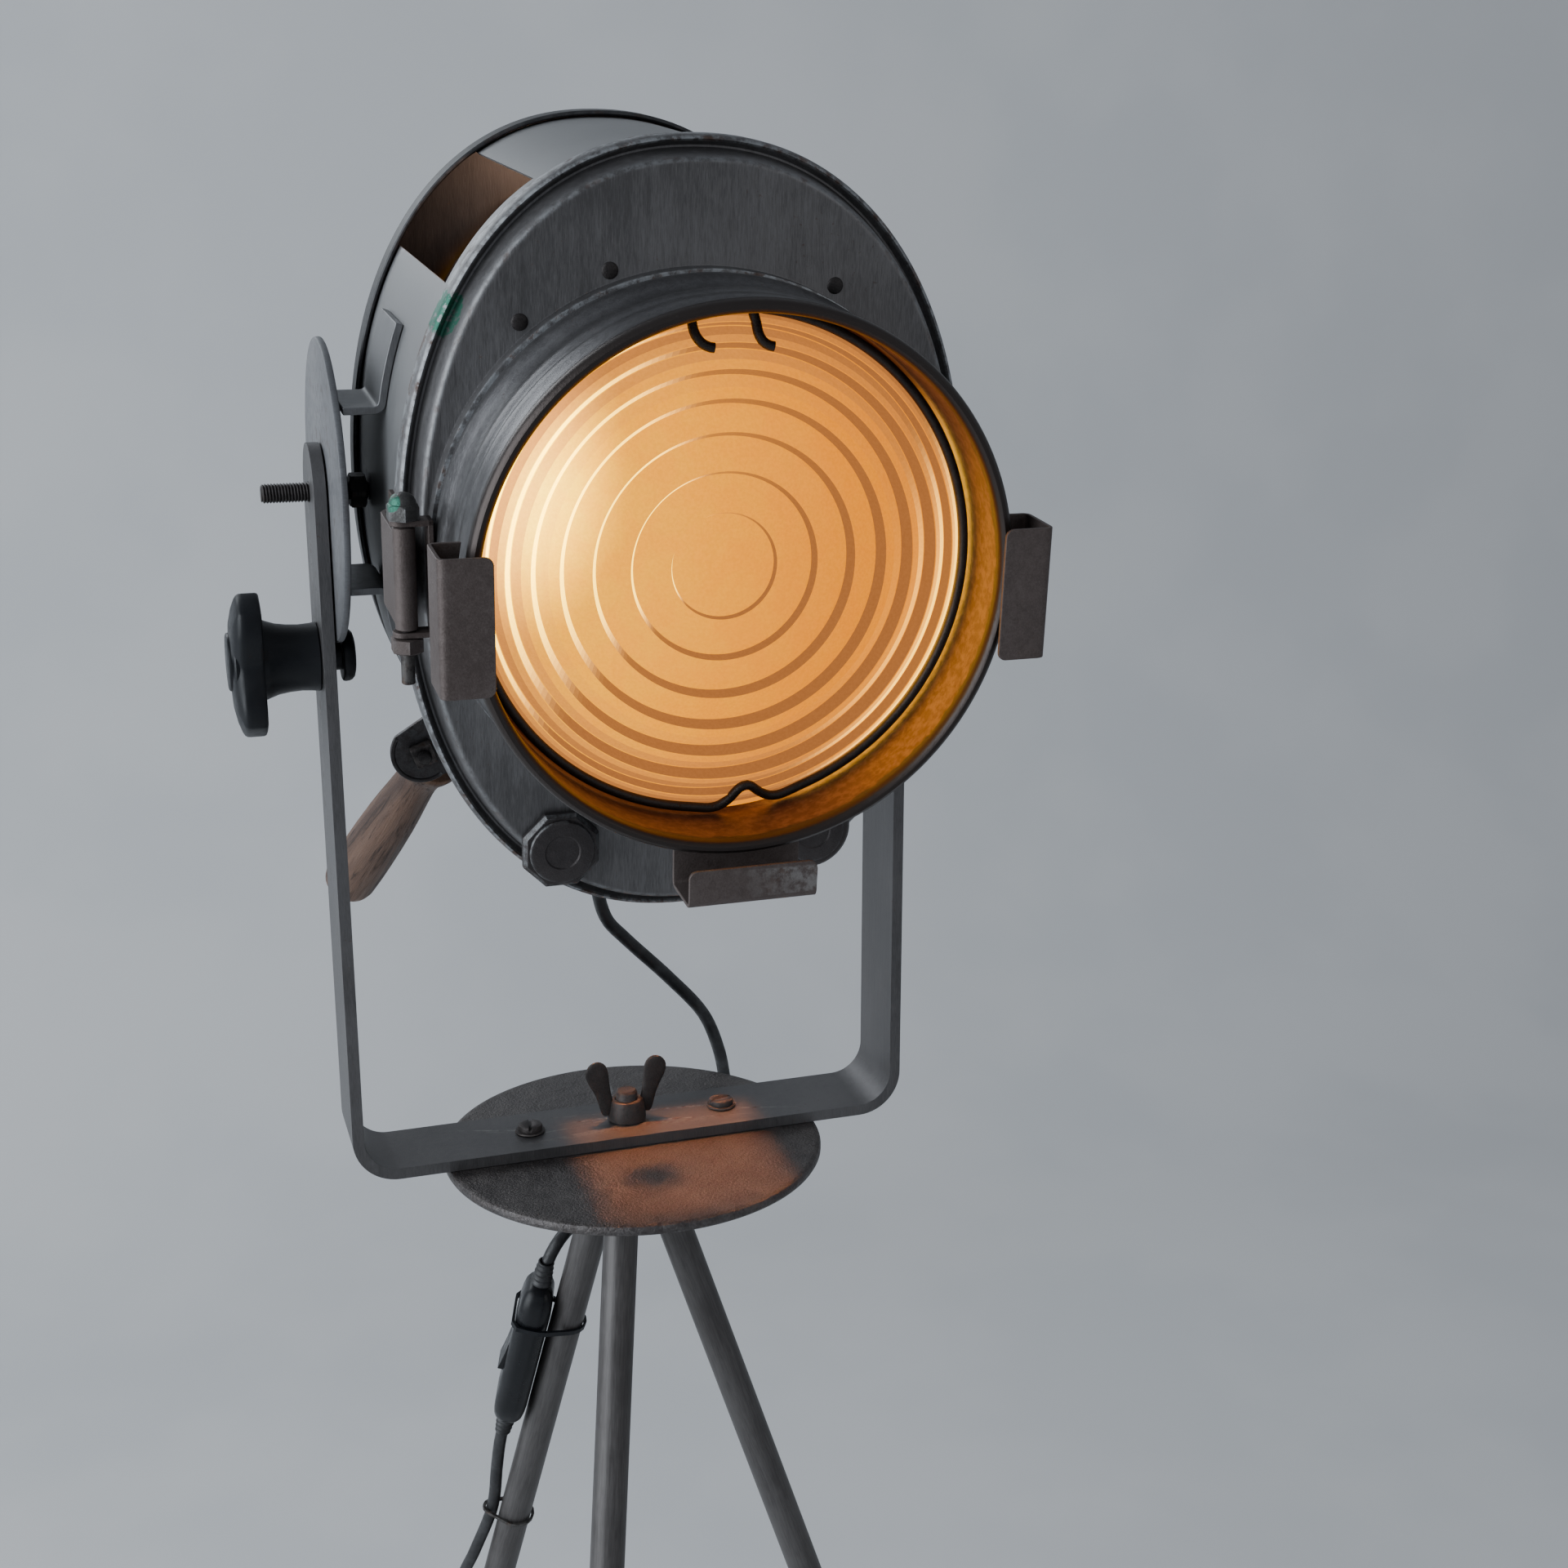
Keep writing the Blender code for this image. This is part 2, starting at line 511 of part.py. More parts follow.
# ---------------------------------------------------------------- head: lens door
def make_door(mats, door):
    oval = [(0, 0.1134), (0, 0.1208), (0.0016, 0.1220), (0.0038, 0.1193), (0.0052, 0.1210), (0.0078, 0.1310)]
    rings = [oval_ring(DOOR_WIDTH, DOOR_HEIGHT, inset, forward) for inset, forward in oval]
    step = [(0.1004, 0.1310), (0.1004, 0.1370), (0.0934, 0.1370), (0.0934, 0.1354), (0.0988, 0.1354),
            (0.0988, 0.1295)]
    rings += [lens_ring(radius, forward) for radius, forward in step]
    back = [(0.0093, 0.1295), (0.0074, 0.1268), (0.0052, 0.1176), (0.0020, 0.1176), (0.0015, 0.1134)]
    rings += [oval_ring(DOOR_WIDTH, DOOR_HEIGHT, inset, forward) for inset, forward in back]
    make_object("lens_door", skin("lens_door", rings, closed=True), mats["steel_sheet"], *door)

    outside = [(0.0984, 0.1374), (0.0992, 0.1450), (0.0960, 0.1545), (0.0978, 0.1640), (0.0962, 0.1860),
               (0.0982, 0.1920), (0.0970, 0.1976), (0.0935, 0.1955)]
    inside = [(0.0940, 0.1870), (0.0940, 0.1566), (0.0870, 0.1566), (0.0870, 0.1546), (0.0940, 0.1546),
              (0.0940, 0.1374)]
    rings = [lens_ring(radius, forward) for radius, forward in outside + inside]
    make_object("hood_collar", skin("hood_collar", rings, closed=True), mats["steel_sheet"], *door)

    face = [(0, 0.1676)]
    inner = 0.0
    for outer in LENS_ZONES:
        if inner:
            face.append((inner, 0.1672))
        face.append((outer, LENS_FACE + 0.0006))
        inner = outer
    face += [(LENS_RADIUS, LENS_FACE + 0.0002), (LENS_RADIUS, 0.1570), (0, 0.1570)]
    rings = [lens_ring(radius, forward) if radius else [Vector((0, -forward, LENS_Z))]
             for radius, forward in face]
    make_object("lens", skin("lens", rings), mats["glass"], *door)


def make_lens_wire(mats, door):
    radius, forward = 0.0913, 0.1666
    path = [(-0.0077, 0.0845, 0.1698), (-0.0125, 0.0880, 0.1690), (-0.0140, 0.0920, 0.1675)]
    start, end = 99.0, 445.0
    steps = 38
    for i in range(steps + 1):
        degrees = start + (end - start) * i / steps
        offset = (degrees - 276.0) / 5.5
        kink = math.exp(-offset * offset * 1.4)
        reach = radius - 0.0055 * kink
        angle = math.radians(degrees)
        path.append((reach * math.cos(angle), LENS_Z + reach * math.sin(angle), forward + 0.0022 * kink))
    path += [(0.0088, 0.0920, 0.1675), (0.0100, 0.0880, 0.1690), (0.0136, 0.0845, 0.1698)]
    tube("lens_wire", [(x, -f, z) for x, z, f in path], 0.0018, mats["dark_steel"], *door)


def make_door_hardware(mats, door):
    parent, location = door
    outline = [(-0.1150, 0.0222), (-0.0999, 0.0222), (-0.0999, -0.0202), (-0.1150, -0.0202),
               (-0.1150, -0.0182), (-0.1018, -0.0182), (-0.1018, 0.0202), (-0.1150, 0.0202)]
    bracket = make_object("hinge_bracket", prism("hinge_bracket", outline, -0.1455, -0.1374, "Y"),
                          mats["rusty_steel"], parent, location)
    bore = turned("bore", [(0, -0.03), (0.0029, -0.03), (0.0029, 0.03), (0, 0.03)], 16)
    combine(bracket, cutter("bracket_bore", bore, parent, (0, 0, 0)))
    pin = [(0, -0.0380), (0.0025, -0.0380), (0.0025, -0.0262), (0.0050, -0.0262), (0.0050, -0.0206),
           (0.0025, -0.0206), (0.0025, 0.0226), (0.0053, 0.0226), (0.0053, 0.0270), (0.0042, 0.0300),
           (0, 0.0318)]
    make_object("hinge_pin", turned("hinge_pin", pin, 18), mats["rusty_steel"], parent)

    wall = 0.0015
    for name, turn, reach, lip, centre in (("clip_left", 180, 0.1085, 0.0900, -0.0056),
                                           ("clip_right", 0, 0.1095, 0.0910, -0.0056),
                                           ("clip_bottom", 270, 0.1146, 0.1000, 0.0015)):
        section = [(0.0920, CLIP_BACK), (reach, CLIP_BACK), (reach, CLIP_FRONT), (lip, CLIP_FRONT),
                   (lip, CLIP_FRONT + wall), (reach - wall, CLIP_FRONT + wall),
                   (reach - wall, CLIP_BACK - wall), (0.0920, CLIP_BACK - wall)]
        mesh = prism(name, section, -CLIP_SPAN / 2, CLIP_SPAN / 2)
        mesh.transform(Matrix.Rotation(math.radians(turn), 4, "Y").inverted())
        shift = Vector((0, 0, centre)) if turn != 270 else Vector((centre, 0, 0))
        mesh.transform(Matrix.Translation(Vector((0, 0, LENS_Z)) + shift))
        clip = make_object(name, mesh, mats["rusty_steel"], parent, location)
        hood = turned("hood_tool", [(0, 0.16), (0.0980, 0.16), (0.0980, 0.19), (0, 0.19)], 64)
        combine(clip, cutter(name + "_tool", hood, parent, Vector(location) + Vector((0, 0, LENS_Z)),
                             (math.pi / 2, 0, 0)))

    for name, x, z, steps, turn in (("door_cap_left", -0.053, -0.1115, 8, 22.5),
                                    ("door_cap_right", 0.048, -0.1130, 32, 0.0)):
        cap = turned(name, [(0, 0), (0.0160, 0), (0.0160, 0.0038), (0, 0.0038)], steps)
        cap.transform(Matrix.Rotation(math.radians(turn), 4, "Z"))
        cap = make_object(name, cap, mats["steel_bar"], parent,
                          Vector(location) + Vector((x, -0.1313, z)), (math.pi / 2, 0, 0))
        button = turned("button", [(0, 0.003), (0.0126, 0.003), (0.0126, 0.0048), (0.0114, 0.0054), (0, 0.0054)], 28)
        combine(cap, cutter(name + "_tool", button, cap), "UNION")


# ---------------------------------------------------------------- yoke and plate
def make_yoke(mats, table):
    middle = YOKE_INNER + BAR_THICK / 2
    low = GAP + BAR_THICK / 2
    top = PIVOT_Z - PLATE_TOP_Z + BAR_WIDTH / 2
    bend = YOKE_BEND + BAR_THICK / 2
    left = arc(-middle + bend, low + bend, bend, 180, 270, 5)
    right = [(-x, z) for x, z in left[::-1]]
    outline = strip_outline([(-middle, top)] + left + right + [(middle, top)], BAR_THICK)
    yoke = make_object("yoke", prism("yoke", outline, -BAR_WIDTH / 2, BAR_WIDTH / 2, "Y"),
                       mats["steel_bar"], table)
    pivot = PIVOT_Z - PLATE_TOP_Z
    half = BAR_WIDTH / 2
    corners = [(half + 0.002, pivot), (half + 0.002, pivot + half + 0.002), (-half - 0.002, pivot + half + 0.002),
               (-half - 0.002, pivot)] + arc(0, pivot, half, 180, 0, 12)
    trim = prism("trim", corners, -0.2, 0.2, "X")
    combine(yoke, cutter("yoke_trim", trim, table))
    rod = turned("rod_hole", [(0, -0.2), (ROD_HOLE, -0.2), (ROD_HOLE, 0.2), (0, 0.2)], 16)
    combine(yoke, cutter("yoke_rod_hole", rod, table, (0, 0, pivot), (0, math.pi / 2, 0)))
    bolt = turned("bolt_hole", [(0, -0.2), (ROD_HOLE, -0.2), (ROD_HOLE, 0), (0, 0)], 16)
    combine(yoke, cutter("yoke_clamp_hole", bolt, table, (0, 0, pivot + CLAMP_Z), (0, math.pi / 2, 0)))
    for i, (x, radius) in enumerate(((0, STUD_RADIUS + 0.0005), (-SCREW_X, 0.0043), (SCREW_X, 0.0043))):
        hole = turned("hole", [(0, -0.01), (radius, -0.01), (radius, 0.02), (0, 0.02)], 16)
        combine(yoke, cutter(f"yoke_base_hole_{i}", hole, table, (x, 0, 0)))

    edge = 0.0008
    disc = turned("base_plate", [(0, -PLATE_THICK), (PLATE_RADIUS - edge, -PLATE_THICK),
                                 (PLATE_RADIUS, -PLATE_THICK + edge), (PLATE_RADIUS, -edge),
                                 (PLATE_RADIUS - edge, 0), (0, 0)], 56)
    plate = make_object("base_plate", disc, mats["rusty_steel"], table, (0, PLATE_OFFSET_Y, 0))
    for i, (x, radius) in enumerate(((0, STUD_RADIUS + 0.0005), (-SCREW_X, 0.0043), (SCREW_X, 0.0043))):
        hole = turned("hole", [(0, -0.01), (radius, -0.01), (radius, 0.01), (0, 0.01)], 16)
        combine(plate, cutter(f"plate_hole_{i}", hole, table, (x, 0, 0)))

    bar_top = GAP + BAR_THICK
    for name, x, turn in (("yoke_screw_left", -SCREW_X, 80), ("yoke_screw_right", SCREW_X, 15)):
        screw = turned(name, [(0, -PLATE_THICK), (0.0039, -PLATE_THICK), (0.0039, bar_top + GAP),
                              (0.0057, bar_top + GAP), (0.0057, bar_top + 0.0034),
                              (0.0050, bar_top + 0.0040), (0, bar_top + 0.0040)], 20)
        screw = make_object(name, screw, mats["dark_steel"], table, (x, 0, 0), (0, 0, math.radians(turn)))
        slot = prism("slot", rounded_box_outline(0.02, 0.0014, 0.0004, 1), bar_top + 0.0026, bar_top + 0.01)
        combine(screw, cutter(name + "_slot", slot, screw))


def make_wing_nut(mats, wing):
    base = [(0.0054, 0), (0.0086, 0), (0.0086, 0.0020), (0.0072, 0.0100), (0.0054, 0.0100)]
    nut = make_object("wing_nut", turned("wing_nut", base, 24, closed=True), mats["dark_steel"], wing)
    for side in (-1, 1):
        tip = arc(0.0132, 0.0255, 0.0045, -35, 145, 6)
        outline = [(0.0060, 0.0010), (0.0085, 0.0010)] + tip + [(0.0060, 0.0095)]
        outline = [(side * x, z) for x, z in outline]
        ear = prism("ear", outline, -0.0016, 0.0016, "Y")
        combine(nut, cutter(f"wing_tool_{side}", ear, wing), "UNION")


def make_clamp(mats, clamp):
    """The star knob and its bolt, along X through the left arm, with its washer inside the arm."""
    arm = -YOKE_INNER - BAR_THICK
    hub = [(0, 0), (0.0120, 0), (0.0120, 0.0020), (0.0165, 0.0020), (0.0165, 0.0165), (0.0140, 0.0368),
           (ROD_RADIUS, 0.0368), (ROD_RADIUS, 0.0458), (0, 0.0458)]
    knob = make_object("clamp_knob", turned("clamp_knob", hub, 28), mats["black_plastic"], clamp,
                       (arm - GAP - 0.0368, 0, 0), (0, math.pi / 2, 0))
    steps, lobes = 42, 3
    star = []
    for i in range(steps):
        angle = 2 * math.pi * i / steps
        wave = 0.5 + 0.5 * math.cos(lobes * (angle - math.pi / 2))
        radius = 0.0175 + 0.0145 * wave
        star.append((radius * math.cos(angle), radius * math.sin(angle)))
    combine(knob, cutter("star_tool", prism("star", star, 0.0035, 0.0135), knob), "UNION")
    washer = turned("clamp_washer", [(0, 0), (0.0102, 0), (0.0110, 0.0010), (0.0110, 0.0042),
                                     (0.0098, 0.0056), (0, 0.0056)], 28)
    make_object("clamp_washer", washer, mats["black_plastic"], clamp,
                (DISC_X + DISC_THICK + GAP, 0, 0), (0, math.pi / 2, 0))


# ---------------------------------------------------------------- tripod
def leg_direction(turn):
    angle = LEG_TURN + turn
    flat = Vector((-math.sin(angle), -math.cos(angle), 0))
    return flat * math.sin(LEG_SPLAY) + Vector((0, 0, -math.cos(LEG_SPLAY)))


def leg_point(turn, distance):
    """A point on a leg's axis, from its top end, relative to the plate's top at the stand's axis."""
    along = leg_direction(turn)
    flat = Vector((along.x, along.y, 0)).normalized()
    return flat * LEG_TOP_RADIUS - Vector((0, 0, LEG_TOP_DROP)) + along * distance


LEGS = (("front", 0.0), ("left", math.radians(120)), ("right", math.radians(-120)))
LEG_LENGTH = (PLATE_TOP_Z - LEG_TOP_DROP - 0.006) / math.cos(LEG_SPLAY)


def make_tripod(mats, stand):
    top = -PLATE_THICK - GAP
    hub = turned("tripod_hub", [(0, top), (HUB_RADIUS, top), (HUB_RADIUS, top - HUB_HEIGHT + 0.003),
                                (HUB_RADIUS - 0.003, top - HUB_HEIGHT), (0, top - HUB_HEIGHT)], 32)
    hub = make_object("tripod_hub", hub, mats["leg_steel"], stand)
    socket = turned("socket", [(0, -GAP), (LEG_RADIUS + GAP, -GAP), (LEG_RADIUS + GAP, 0.1), (0, 0.1)], 20)
    hole = turned("stud_hole", [(0, -0.0128), (STUD_RADIUS + GAP, -0.0128), (STUD_RADIUS + GAP, 0), (0, 0)], 20)
    combine(hub, cutter("stud_hole", hole, stand))
    stud = turned("centre_stud", [(0, -0.0125), (STUD_RADIUS, -0.0125), (STUD_RADIUS, 0.0190),
                                  (STUD_RADIUS - 0.0008, 0.0198), (0, 0.0198)], 20)
    make_object("centre_stud", stud, mats["dark_steel"], stand)
    inner = LEG_RADIUS - LEG_WALL
    pipe = turned("leg", [(inner, 0), (LEG_RADIUS, 0), (LEG_RADIUS, LEG_LENGTH), (inner, LEG_LENGTH)],
                  20, closed=True)
    plug = turned("leg_end", [(0, -0.2), (LEG_RADIUS + GAP, -0.2), (LEG_RADIUS + GAP, LEG_LENGTH + GAP),
                              (0, LEG_LENGTH + GAP)], 20)
    for name, turn in LEGS:
        along = leg_direction(turn).to_track_quat("Z", "Y").to_euler()
        base = leg_point(turn, 0)
        combine(hub, cutter(f"socket_{name}", socket, stand, base, along))
        make_object(f"leg_{name}", pipe.copy(), None, stand, base, along).data.materials.append(
            mats["leg_steel"])
        foot = make_foot(turn)
        foot = make_object(f"foot_{name}", foot, mats["black_rubber"], stand)
        combine(foot, cutter(f"foot_bore_{name}", plug, stand, base, along))


def make_foot(turn):
    """A rubber cap on a leg's end, cut flat along the floor."""
    bm = bmesh.new()
    bmesh.ops.create_cone(bm, cap_ends=True, segments=24, radius1=FOOT_RADIUS, radius2=FOOT_RADIUS,
                          depth=0.050)
    along = leg_direction(turn)
    bm.transform(along.to_track_quat("Z", "Y").to_matrix().to_4x4())
    bm.transform(Matrix.Translation(leg_point(turn, LEG_LENGTH - 0.001)))
    floor = -PLATE_TOP_Z
    geometry = bm.verts[:] + bm.edges[:] + bm.faces[:]
    cut = bmesh.ops.bisect_plane(bm, geom=geometry, plane_co=(0, 0, floor), plane_no=(0, 0, -1),
                                 clear_outer=True)
    rim = [item for item in cut["geom_cut"] if isinstance(item, bmesh.types.BMEdge)]
    bmesh.ops.edgeloop_fill(bm, edges=rim)
    return finish_mesh("foot", bm)


# ---------------------------------------------------------------- cord and switch
def switch_frame():
    """The left leg's direction, and the side of it that the switch lies on."""
    turn = LEGS[1][1]
    along = leg_direction(turn)
    side = Vector((-0.95, 0.31, 0))
    side = (side - along * side.dot(along)).normalized()
    return turn, along, side


def make_switch(mats, stand, rocker):
    turn, along, side = switch_frame()
    across = along.cross(side)
    axes = Matrix((side, across, along)).transposed().to_euler()
    start = leg_point(turn, SWITCH_START) + side * SWITCH_OFFSET
    outline = rounded_box_outline(SWITCH_THICK, SWITCH_DEPTH, 0.005, 3)
    rings = []
    for height, scale in ((0, 0.55), (0.003, 0.80), (0.010, 1.0), (SWITCH_LENGTH - 0.010, 1.0),
                          (SWITCH_LENGTH - 0.003, 0.80), (SWITCH_LENGTH, 0.55)):
        rings.append([Vector((x * scale, y * scale, height)) for x, y in outline])
    body = make_object("switch_body", skin("switch_body", rings), mats["black_plastic"], stand, start, axes)
    pocket = prism("pocket", rounded_box_outline(0.0146, 0.0226, 0.001, 1, 0.0, SWITCH_LENGTH / 2),
                   0.0030, 0.012, "X")
    combine(body, cutter("rocker_pocket", pocket, body))
    return start + along * (SWITCH_LENGTH / 2) + side * 0.0062, axes


def make_rocker(mats, rocker):
    outline = [(-0.0104, 0.0012), (0.0, 0.0028), (0.0104, 0.0046), (0.0104, -0.0005), (0.0, -0.0026),
               (-0.0104, -0.0010)]
    mesh = prism("switch_rocker", [(x, z) for z, x in outline], -0.0066, 0.0066, "Y")
    make_object("switch_rocker", mesh, mats["black_plastic"], rocker)


def hull(points):
    points = sorted(set(points))

    def half(items):
        chain = []
        for p in items:
            while len(chain) > 1 and ((chain[-1][0] - chain[-2][0]) * (p[1] - chain[-2][1])
                                      - (chain[-1][1] - chain[-2][1]) * (p[0] - chain[-2][0])) <= 0:
                chain.pop()
            chain.append(p)
        return chain[:-1]
    return half(points) + half(points[::-1])


def make_tie(name, mat, stand, distance, shape, width, thick):
    """A band around the left leg and the outline of what it holds."""
    turn, along, side = switch_frame()
    axes = Matrix((side, along.cross(side), along)).transposed().to_euler()

    def grown(extra):
        return hull(arc(0, 0, LEG_RADIUS + extra, 0, 345, 15) + shape(extra))
    inner, outer = grown(0.0006), grown(0.0006 + thick)
    count = 28
    angles = [2 * math.pi * i / count for i in range(count)]
    centre = Vector((0.006, 0))

    def ray(outline, angle):
        d = Vector((math.cos(angle), math.sin(angle)))
        best = 0.0
        for p, q in zip(outline, outline[1:] + outline[:1]):
            p, q = Vector(p) - centre, Vector(q) - centre
            e = q - p
            det = e.x * d.y - e.y * d.x
            if abs(det) > 1e-12:
                u = (p.y * d.x - p.x * d.y) / det
                reach = (p + e * u).dot(d)
                if -1e-9 <= u <= 1 + 1e-9 and reach > best:
                    best = reach
        return centre + d * best
    loops = {key: [ray(outline, a) for a in angles] for key, outline in (("in", inner), ("out", outer))}
    rings = [[Vector((p.x, p.y, z)) for p in loops[key]] for key, z in (
        ("in", -width / 2), ("out", -width / 2), ("out", width / 2), ("in", width / 2))]
    make_object(name, skin(name, rings, closed=True), mat, stand, leg_point(turn, distance), axes)


def coil_frame(height):
    """The coil's centre, the way out to where the cord joins it, and the cord's way along it there."""
    inward = Vector((0.42, -0.907, 0)).normalized()
    return Vector((COIL_X, COIL_Y, height)), Vector((inward.y, -inward.x, 0)), inward


def make_cord(mats, stand, exit_point):
    turn, along, side = switch_frame()
    upper = [exit_point, (-0.0052, 0.0300, 0.115), (0.0000, 0.0350, 0.0930), (0.0120, 0.0420, 0.0773),
             (0.0346, 0.0520, 0.0523), (0.0540, 0.0600, 0.0283), (0.0640, 0.0665, 0.0050),
             (0.0690, 0.0720, -0.0160)]
    pitch = 0.0125
    tube("cord_upper", smooth_route(upper, pitch), CORD_RADIUS, mats["black_rubber"], stand)
    switch_top = leg_point(turn, SWITCH_START) + side * SWITCH_OFFSET - along * 2 * GAP
    down = (Vector(upper[-1]) - Vector(upper[-2])).normalized()
    break_point = Vector(upper[-1]) + down * 2 * GAP
    middle = [break_point, break_point + down * 0.010, (0.0710, 0.0753, -0.0392), (0.0654, 0.0805, -0.0558),
              (0.0484, 0.0805, -0.0695), (0.0306, 0.0749, -0.0720), (0.0120, 0.0643, -0.0741),
              (-0.0058, 0.0491, -0.0669), (-0.0205, 0.0368, -0.0655), (-0.0297, 0.0318, -0.0724),
              switch_top - along * 0.006, switch_top]
    tube("cord_middle", smooth_route(middle, pitch), CORD_RADIUS, mats["black_rubber"], stand)

    def beside(distance, reach):
        return leg_point(turn, distance) + side * reach
    floor = -PLATE_TOP_Z + CORD_RADIUS + 3 * GAP
    coil, radial, inward = coil_frame(floor)
    near = coil + radial * COIL_OUTER
    lower = [beside(SWITCH_START + SWITCH_LENGTH + GAP, SWITCH_OFFSET), beside(0.186, SWITCH_OFFSET),
             beside(0.205, 0.0150),
             beside(WIRE_TIE_AT, CORD_GAP), beside(0.265, 0.0150), beside(0.30, 0.0190), beside(0.42, 0.0230),
             beside(0.56, 0.0170), beside(LOW_TIE_AT, CORD_GAP), (-0.1600, 0.2060, -0.755),
             (-0.1695, 0.2115, -0.815), (-0.1725, 0.2125, -0.865), (-0.1725, 0.2110, floor + 0.0460),
             (-0.1705, 0.2065, floor + 0.0250), (-0.1660, 0.1955, floor + 0.0080),
             (-0.1585, 0.1775, floor + 0.0004), near - inward * 0.070,
             near - inward * 0.050 + Vector((0, 0, 0.0010)), near - inward * 0.026 + Vector((0, 0, 0.0040))]
    tube("cord_lower", smooth_route(lower, pitch * 1.1), CORD_RADIUS, mats["black_rubber"], stand)

    low, high = COIL_LOW - PLATE_TOP_Z, COIL_TOP - PLATE_TOP_Z
    outline = rounded_box_outline(COIL_SIDE, COIL_TOP - COIL_LOW, 0.004, 1, COIL_RADIUS, (low + high) / 2)
    make_object("cord_coil", turned("cord_coil", outline, 28, closed=True), mats["black_rubber"], stand,
                (COIL_X, COIL_Y, 0))
    band_in = rounded_box_outline(COIL_SIDE + 0.0010, COIL_TOP - COIL_LOW + 0.0010, 0.0045, 2)
    band_out = rounded_box_outline(COIL_SIDE + 0.0030, COIL_TOP - COIL_LOW + 0.0030, 0.0055, 2)
    rings = [[Vector((x, y, z)) for x, z in shape] for shape, y in (
        (band_in, -0.002), (band_out, -0.002), (band_out, 0.002), (band_in, 0.002))]
    make_object("coil_tie", skin("coil_tie", rings, closed=True), mats["dark_steel"], stand,
                (COIL_X + COIL_RADIUS, COIL_Y, (low + high) / 2))
    make_plug(mats, stand)


def make_plug(mats, stand):
    """A flat two-pin plug on the floor, in line with the coil's outer turn."""
    coil, radial, out = coil_frame(0.0080 - PLATE_TOP_Z)
    start = coil + radial * COIL_OUTER + out * 0.0270
    turn = math.atan2(out.y, out.x)
    rings = []
    for reach, wide, tall in ((0, 0.008, 0.008), (0.010, 0.010, 0.010), (0.018, 0.026, 0.0126),
                              (0.040, 0.0266, 0.0136), (0.046, 0.0240, 0.0125)):
        rings.append([Vector((reach, y, z)) for y, z in rounded_box_outline(wide, tall, tall * 0.3, 2)])
    plug = make_object("plug", skin("plug", rings), mats["black_plastic"], stand, start, (0, 0, turn))
    for side in (-1, 1):
        pin = turned("pin", [(0, 0.044), (0.0020, 0.044), (0.0020, 0.0635), (0.0012, 0.0645), (0, 0.0645)], 12)
        combine(plug, cutter(f"pin_tool_{side}", pin, plug, (0, side * 0.0090, 0), (0, math.pi / 2, 0)), "UNION")


# ---------------------------------------------------------------- assembly
def main():
    for thing in list(bpy.data.objects):
        bpy.data.objects.remove(thing, do_unlink=True)
    mats = make_materials()
    stand = empty("stand_axis", (AXIS_X, AXIS_Y, PLATE_TOP_Z))
    table = empty("pan_axis", (AXIS_X, AXIS_Y, PLATE_TOP_Z))
    head = empty("tilt_axis", (AXIS_X, AXIS_Y, PIVOT_Z), (HEAD_TILT, 0, 0))
    hinge_place = Vector((HINGE_X, HINGE_Y, 0))
    hinge = empty("door_axis", hinge_place, parent=head)
    door = (hinge, -hinge_place)
    carriage = empty("carriage_axis", (0, CARRIAGE_Y, 0), parent=head)
    focus = empty("focus_axis", (0, 0, -0.119 - GAP), parent=carriage)
    catch = empty("catch_axis", (CATCH_X, -0.1225, OVAL_CENTRE_Z - 0.0002), parent=head)
    wing = empty("wing_axis", (0, 0, 2 * GAP + BAR_THICK), parent=table)
    clamp = empty("clamp_axis", (0, 0, PIVOT_Z - PLATE_TOP_Z + CLAMP_Z), parent=table)

    make_housing(mats, head)
    make_pivots(mats, head)
    make_handle(mats, head)
    make_hinge_barrel(mats, head)
    make_gland(mats, head)
    make_catch(mats, head, catch)
    make_rails(mats, head)
    make_carriage(mats, carriage)
    make_focus_knob(mats, focus)
    make_door(mats, door)
    make_lens_wire(mats, door)
    make_door_hardware(mats, door)
    make_yoke(mats, table)
    make_wing_nut(mats, wing)
    make_clamp(mats, clamp)
    make_tripod(mats, stand)

    place, axes = make_switch(mats, stand, None)
    make_rocker(mats, empty("rocker_axis", place, axes, stand))
    make_tie("switch_tie", mats["black_plastic"], stand, SWITCH_START + 0.020, lambda extra: [
        (SWITCH_OFFSET + x, y) for x, y in rounded_box_outline(
            SWITCH_THICK + 2 * extra, SWITCH_DEPTH + 2 * extra, 0.005, 3)], 0.0025, 0.0012)
    for name, at in (("wire_tie", WIRE_TIE_AT), ("low_tie", LOW_TIE_AT)):
        make_tie(name, mats["dark_steel"], stand, at, lambda extra: arc(
            CORD_GAP, 0, CORD_RADIUS + extra, 0, 345, 15), 0.0016, 0.0014)

    tip = Vector((GLAND_X, GLAND_Y, GLAND_TIP_Z - GAP))
    tip.rotate(Matrix.Rotation(HEAD_TILT, 3, "X"))
    make_cord(mats, stand, tip + Vector((0, 0, PIVOT_Z - PLATE_TOP_Z)))


main()
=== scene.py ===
"""A vintage fresnel spotlight on a tripod: fine surfaces, materials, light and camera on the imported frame."""
import json
from math import atan2, copysign, cos, exp, pi, radians, sin, tan

import bmesh
import bpy
from mathutils import Matrix, Vector


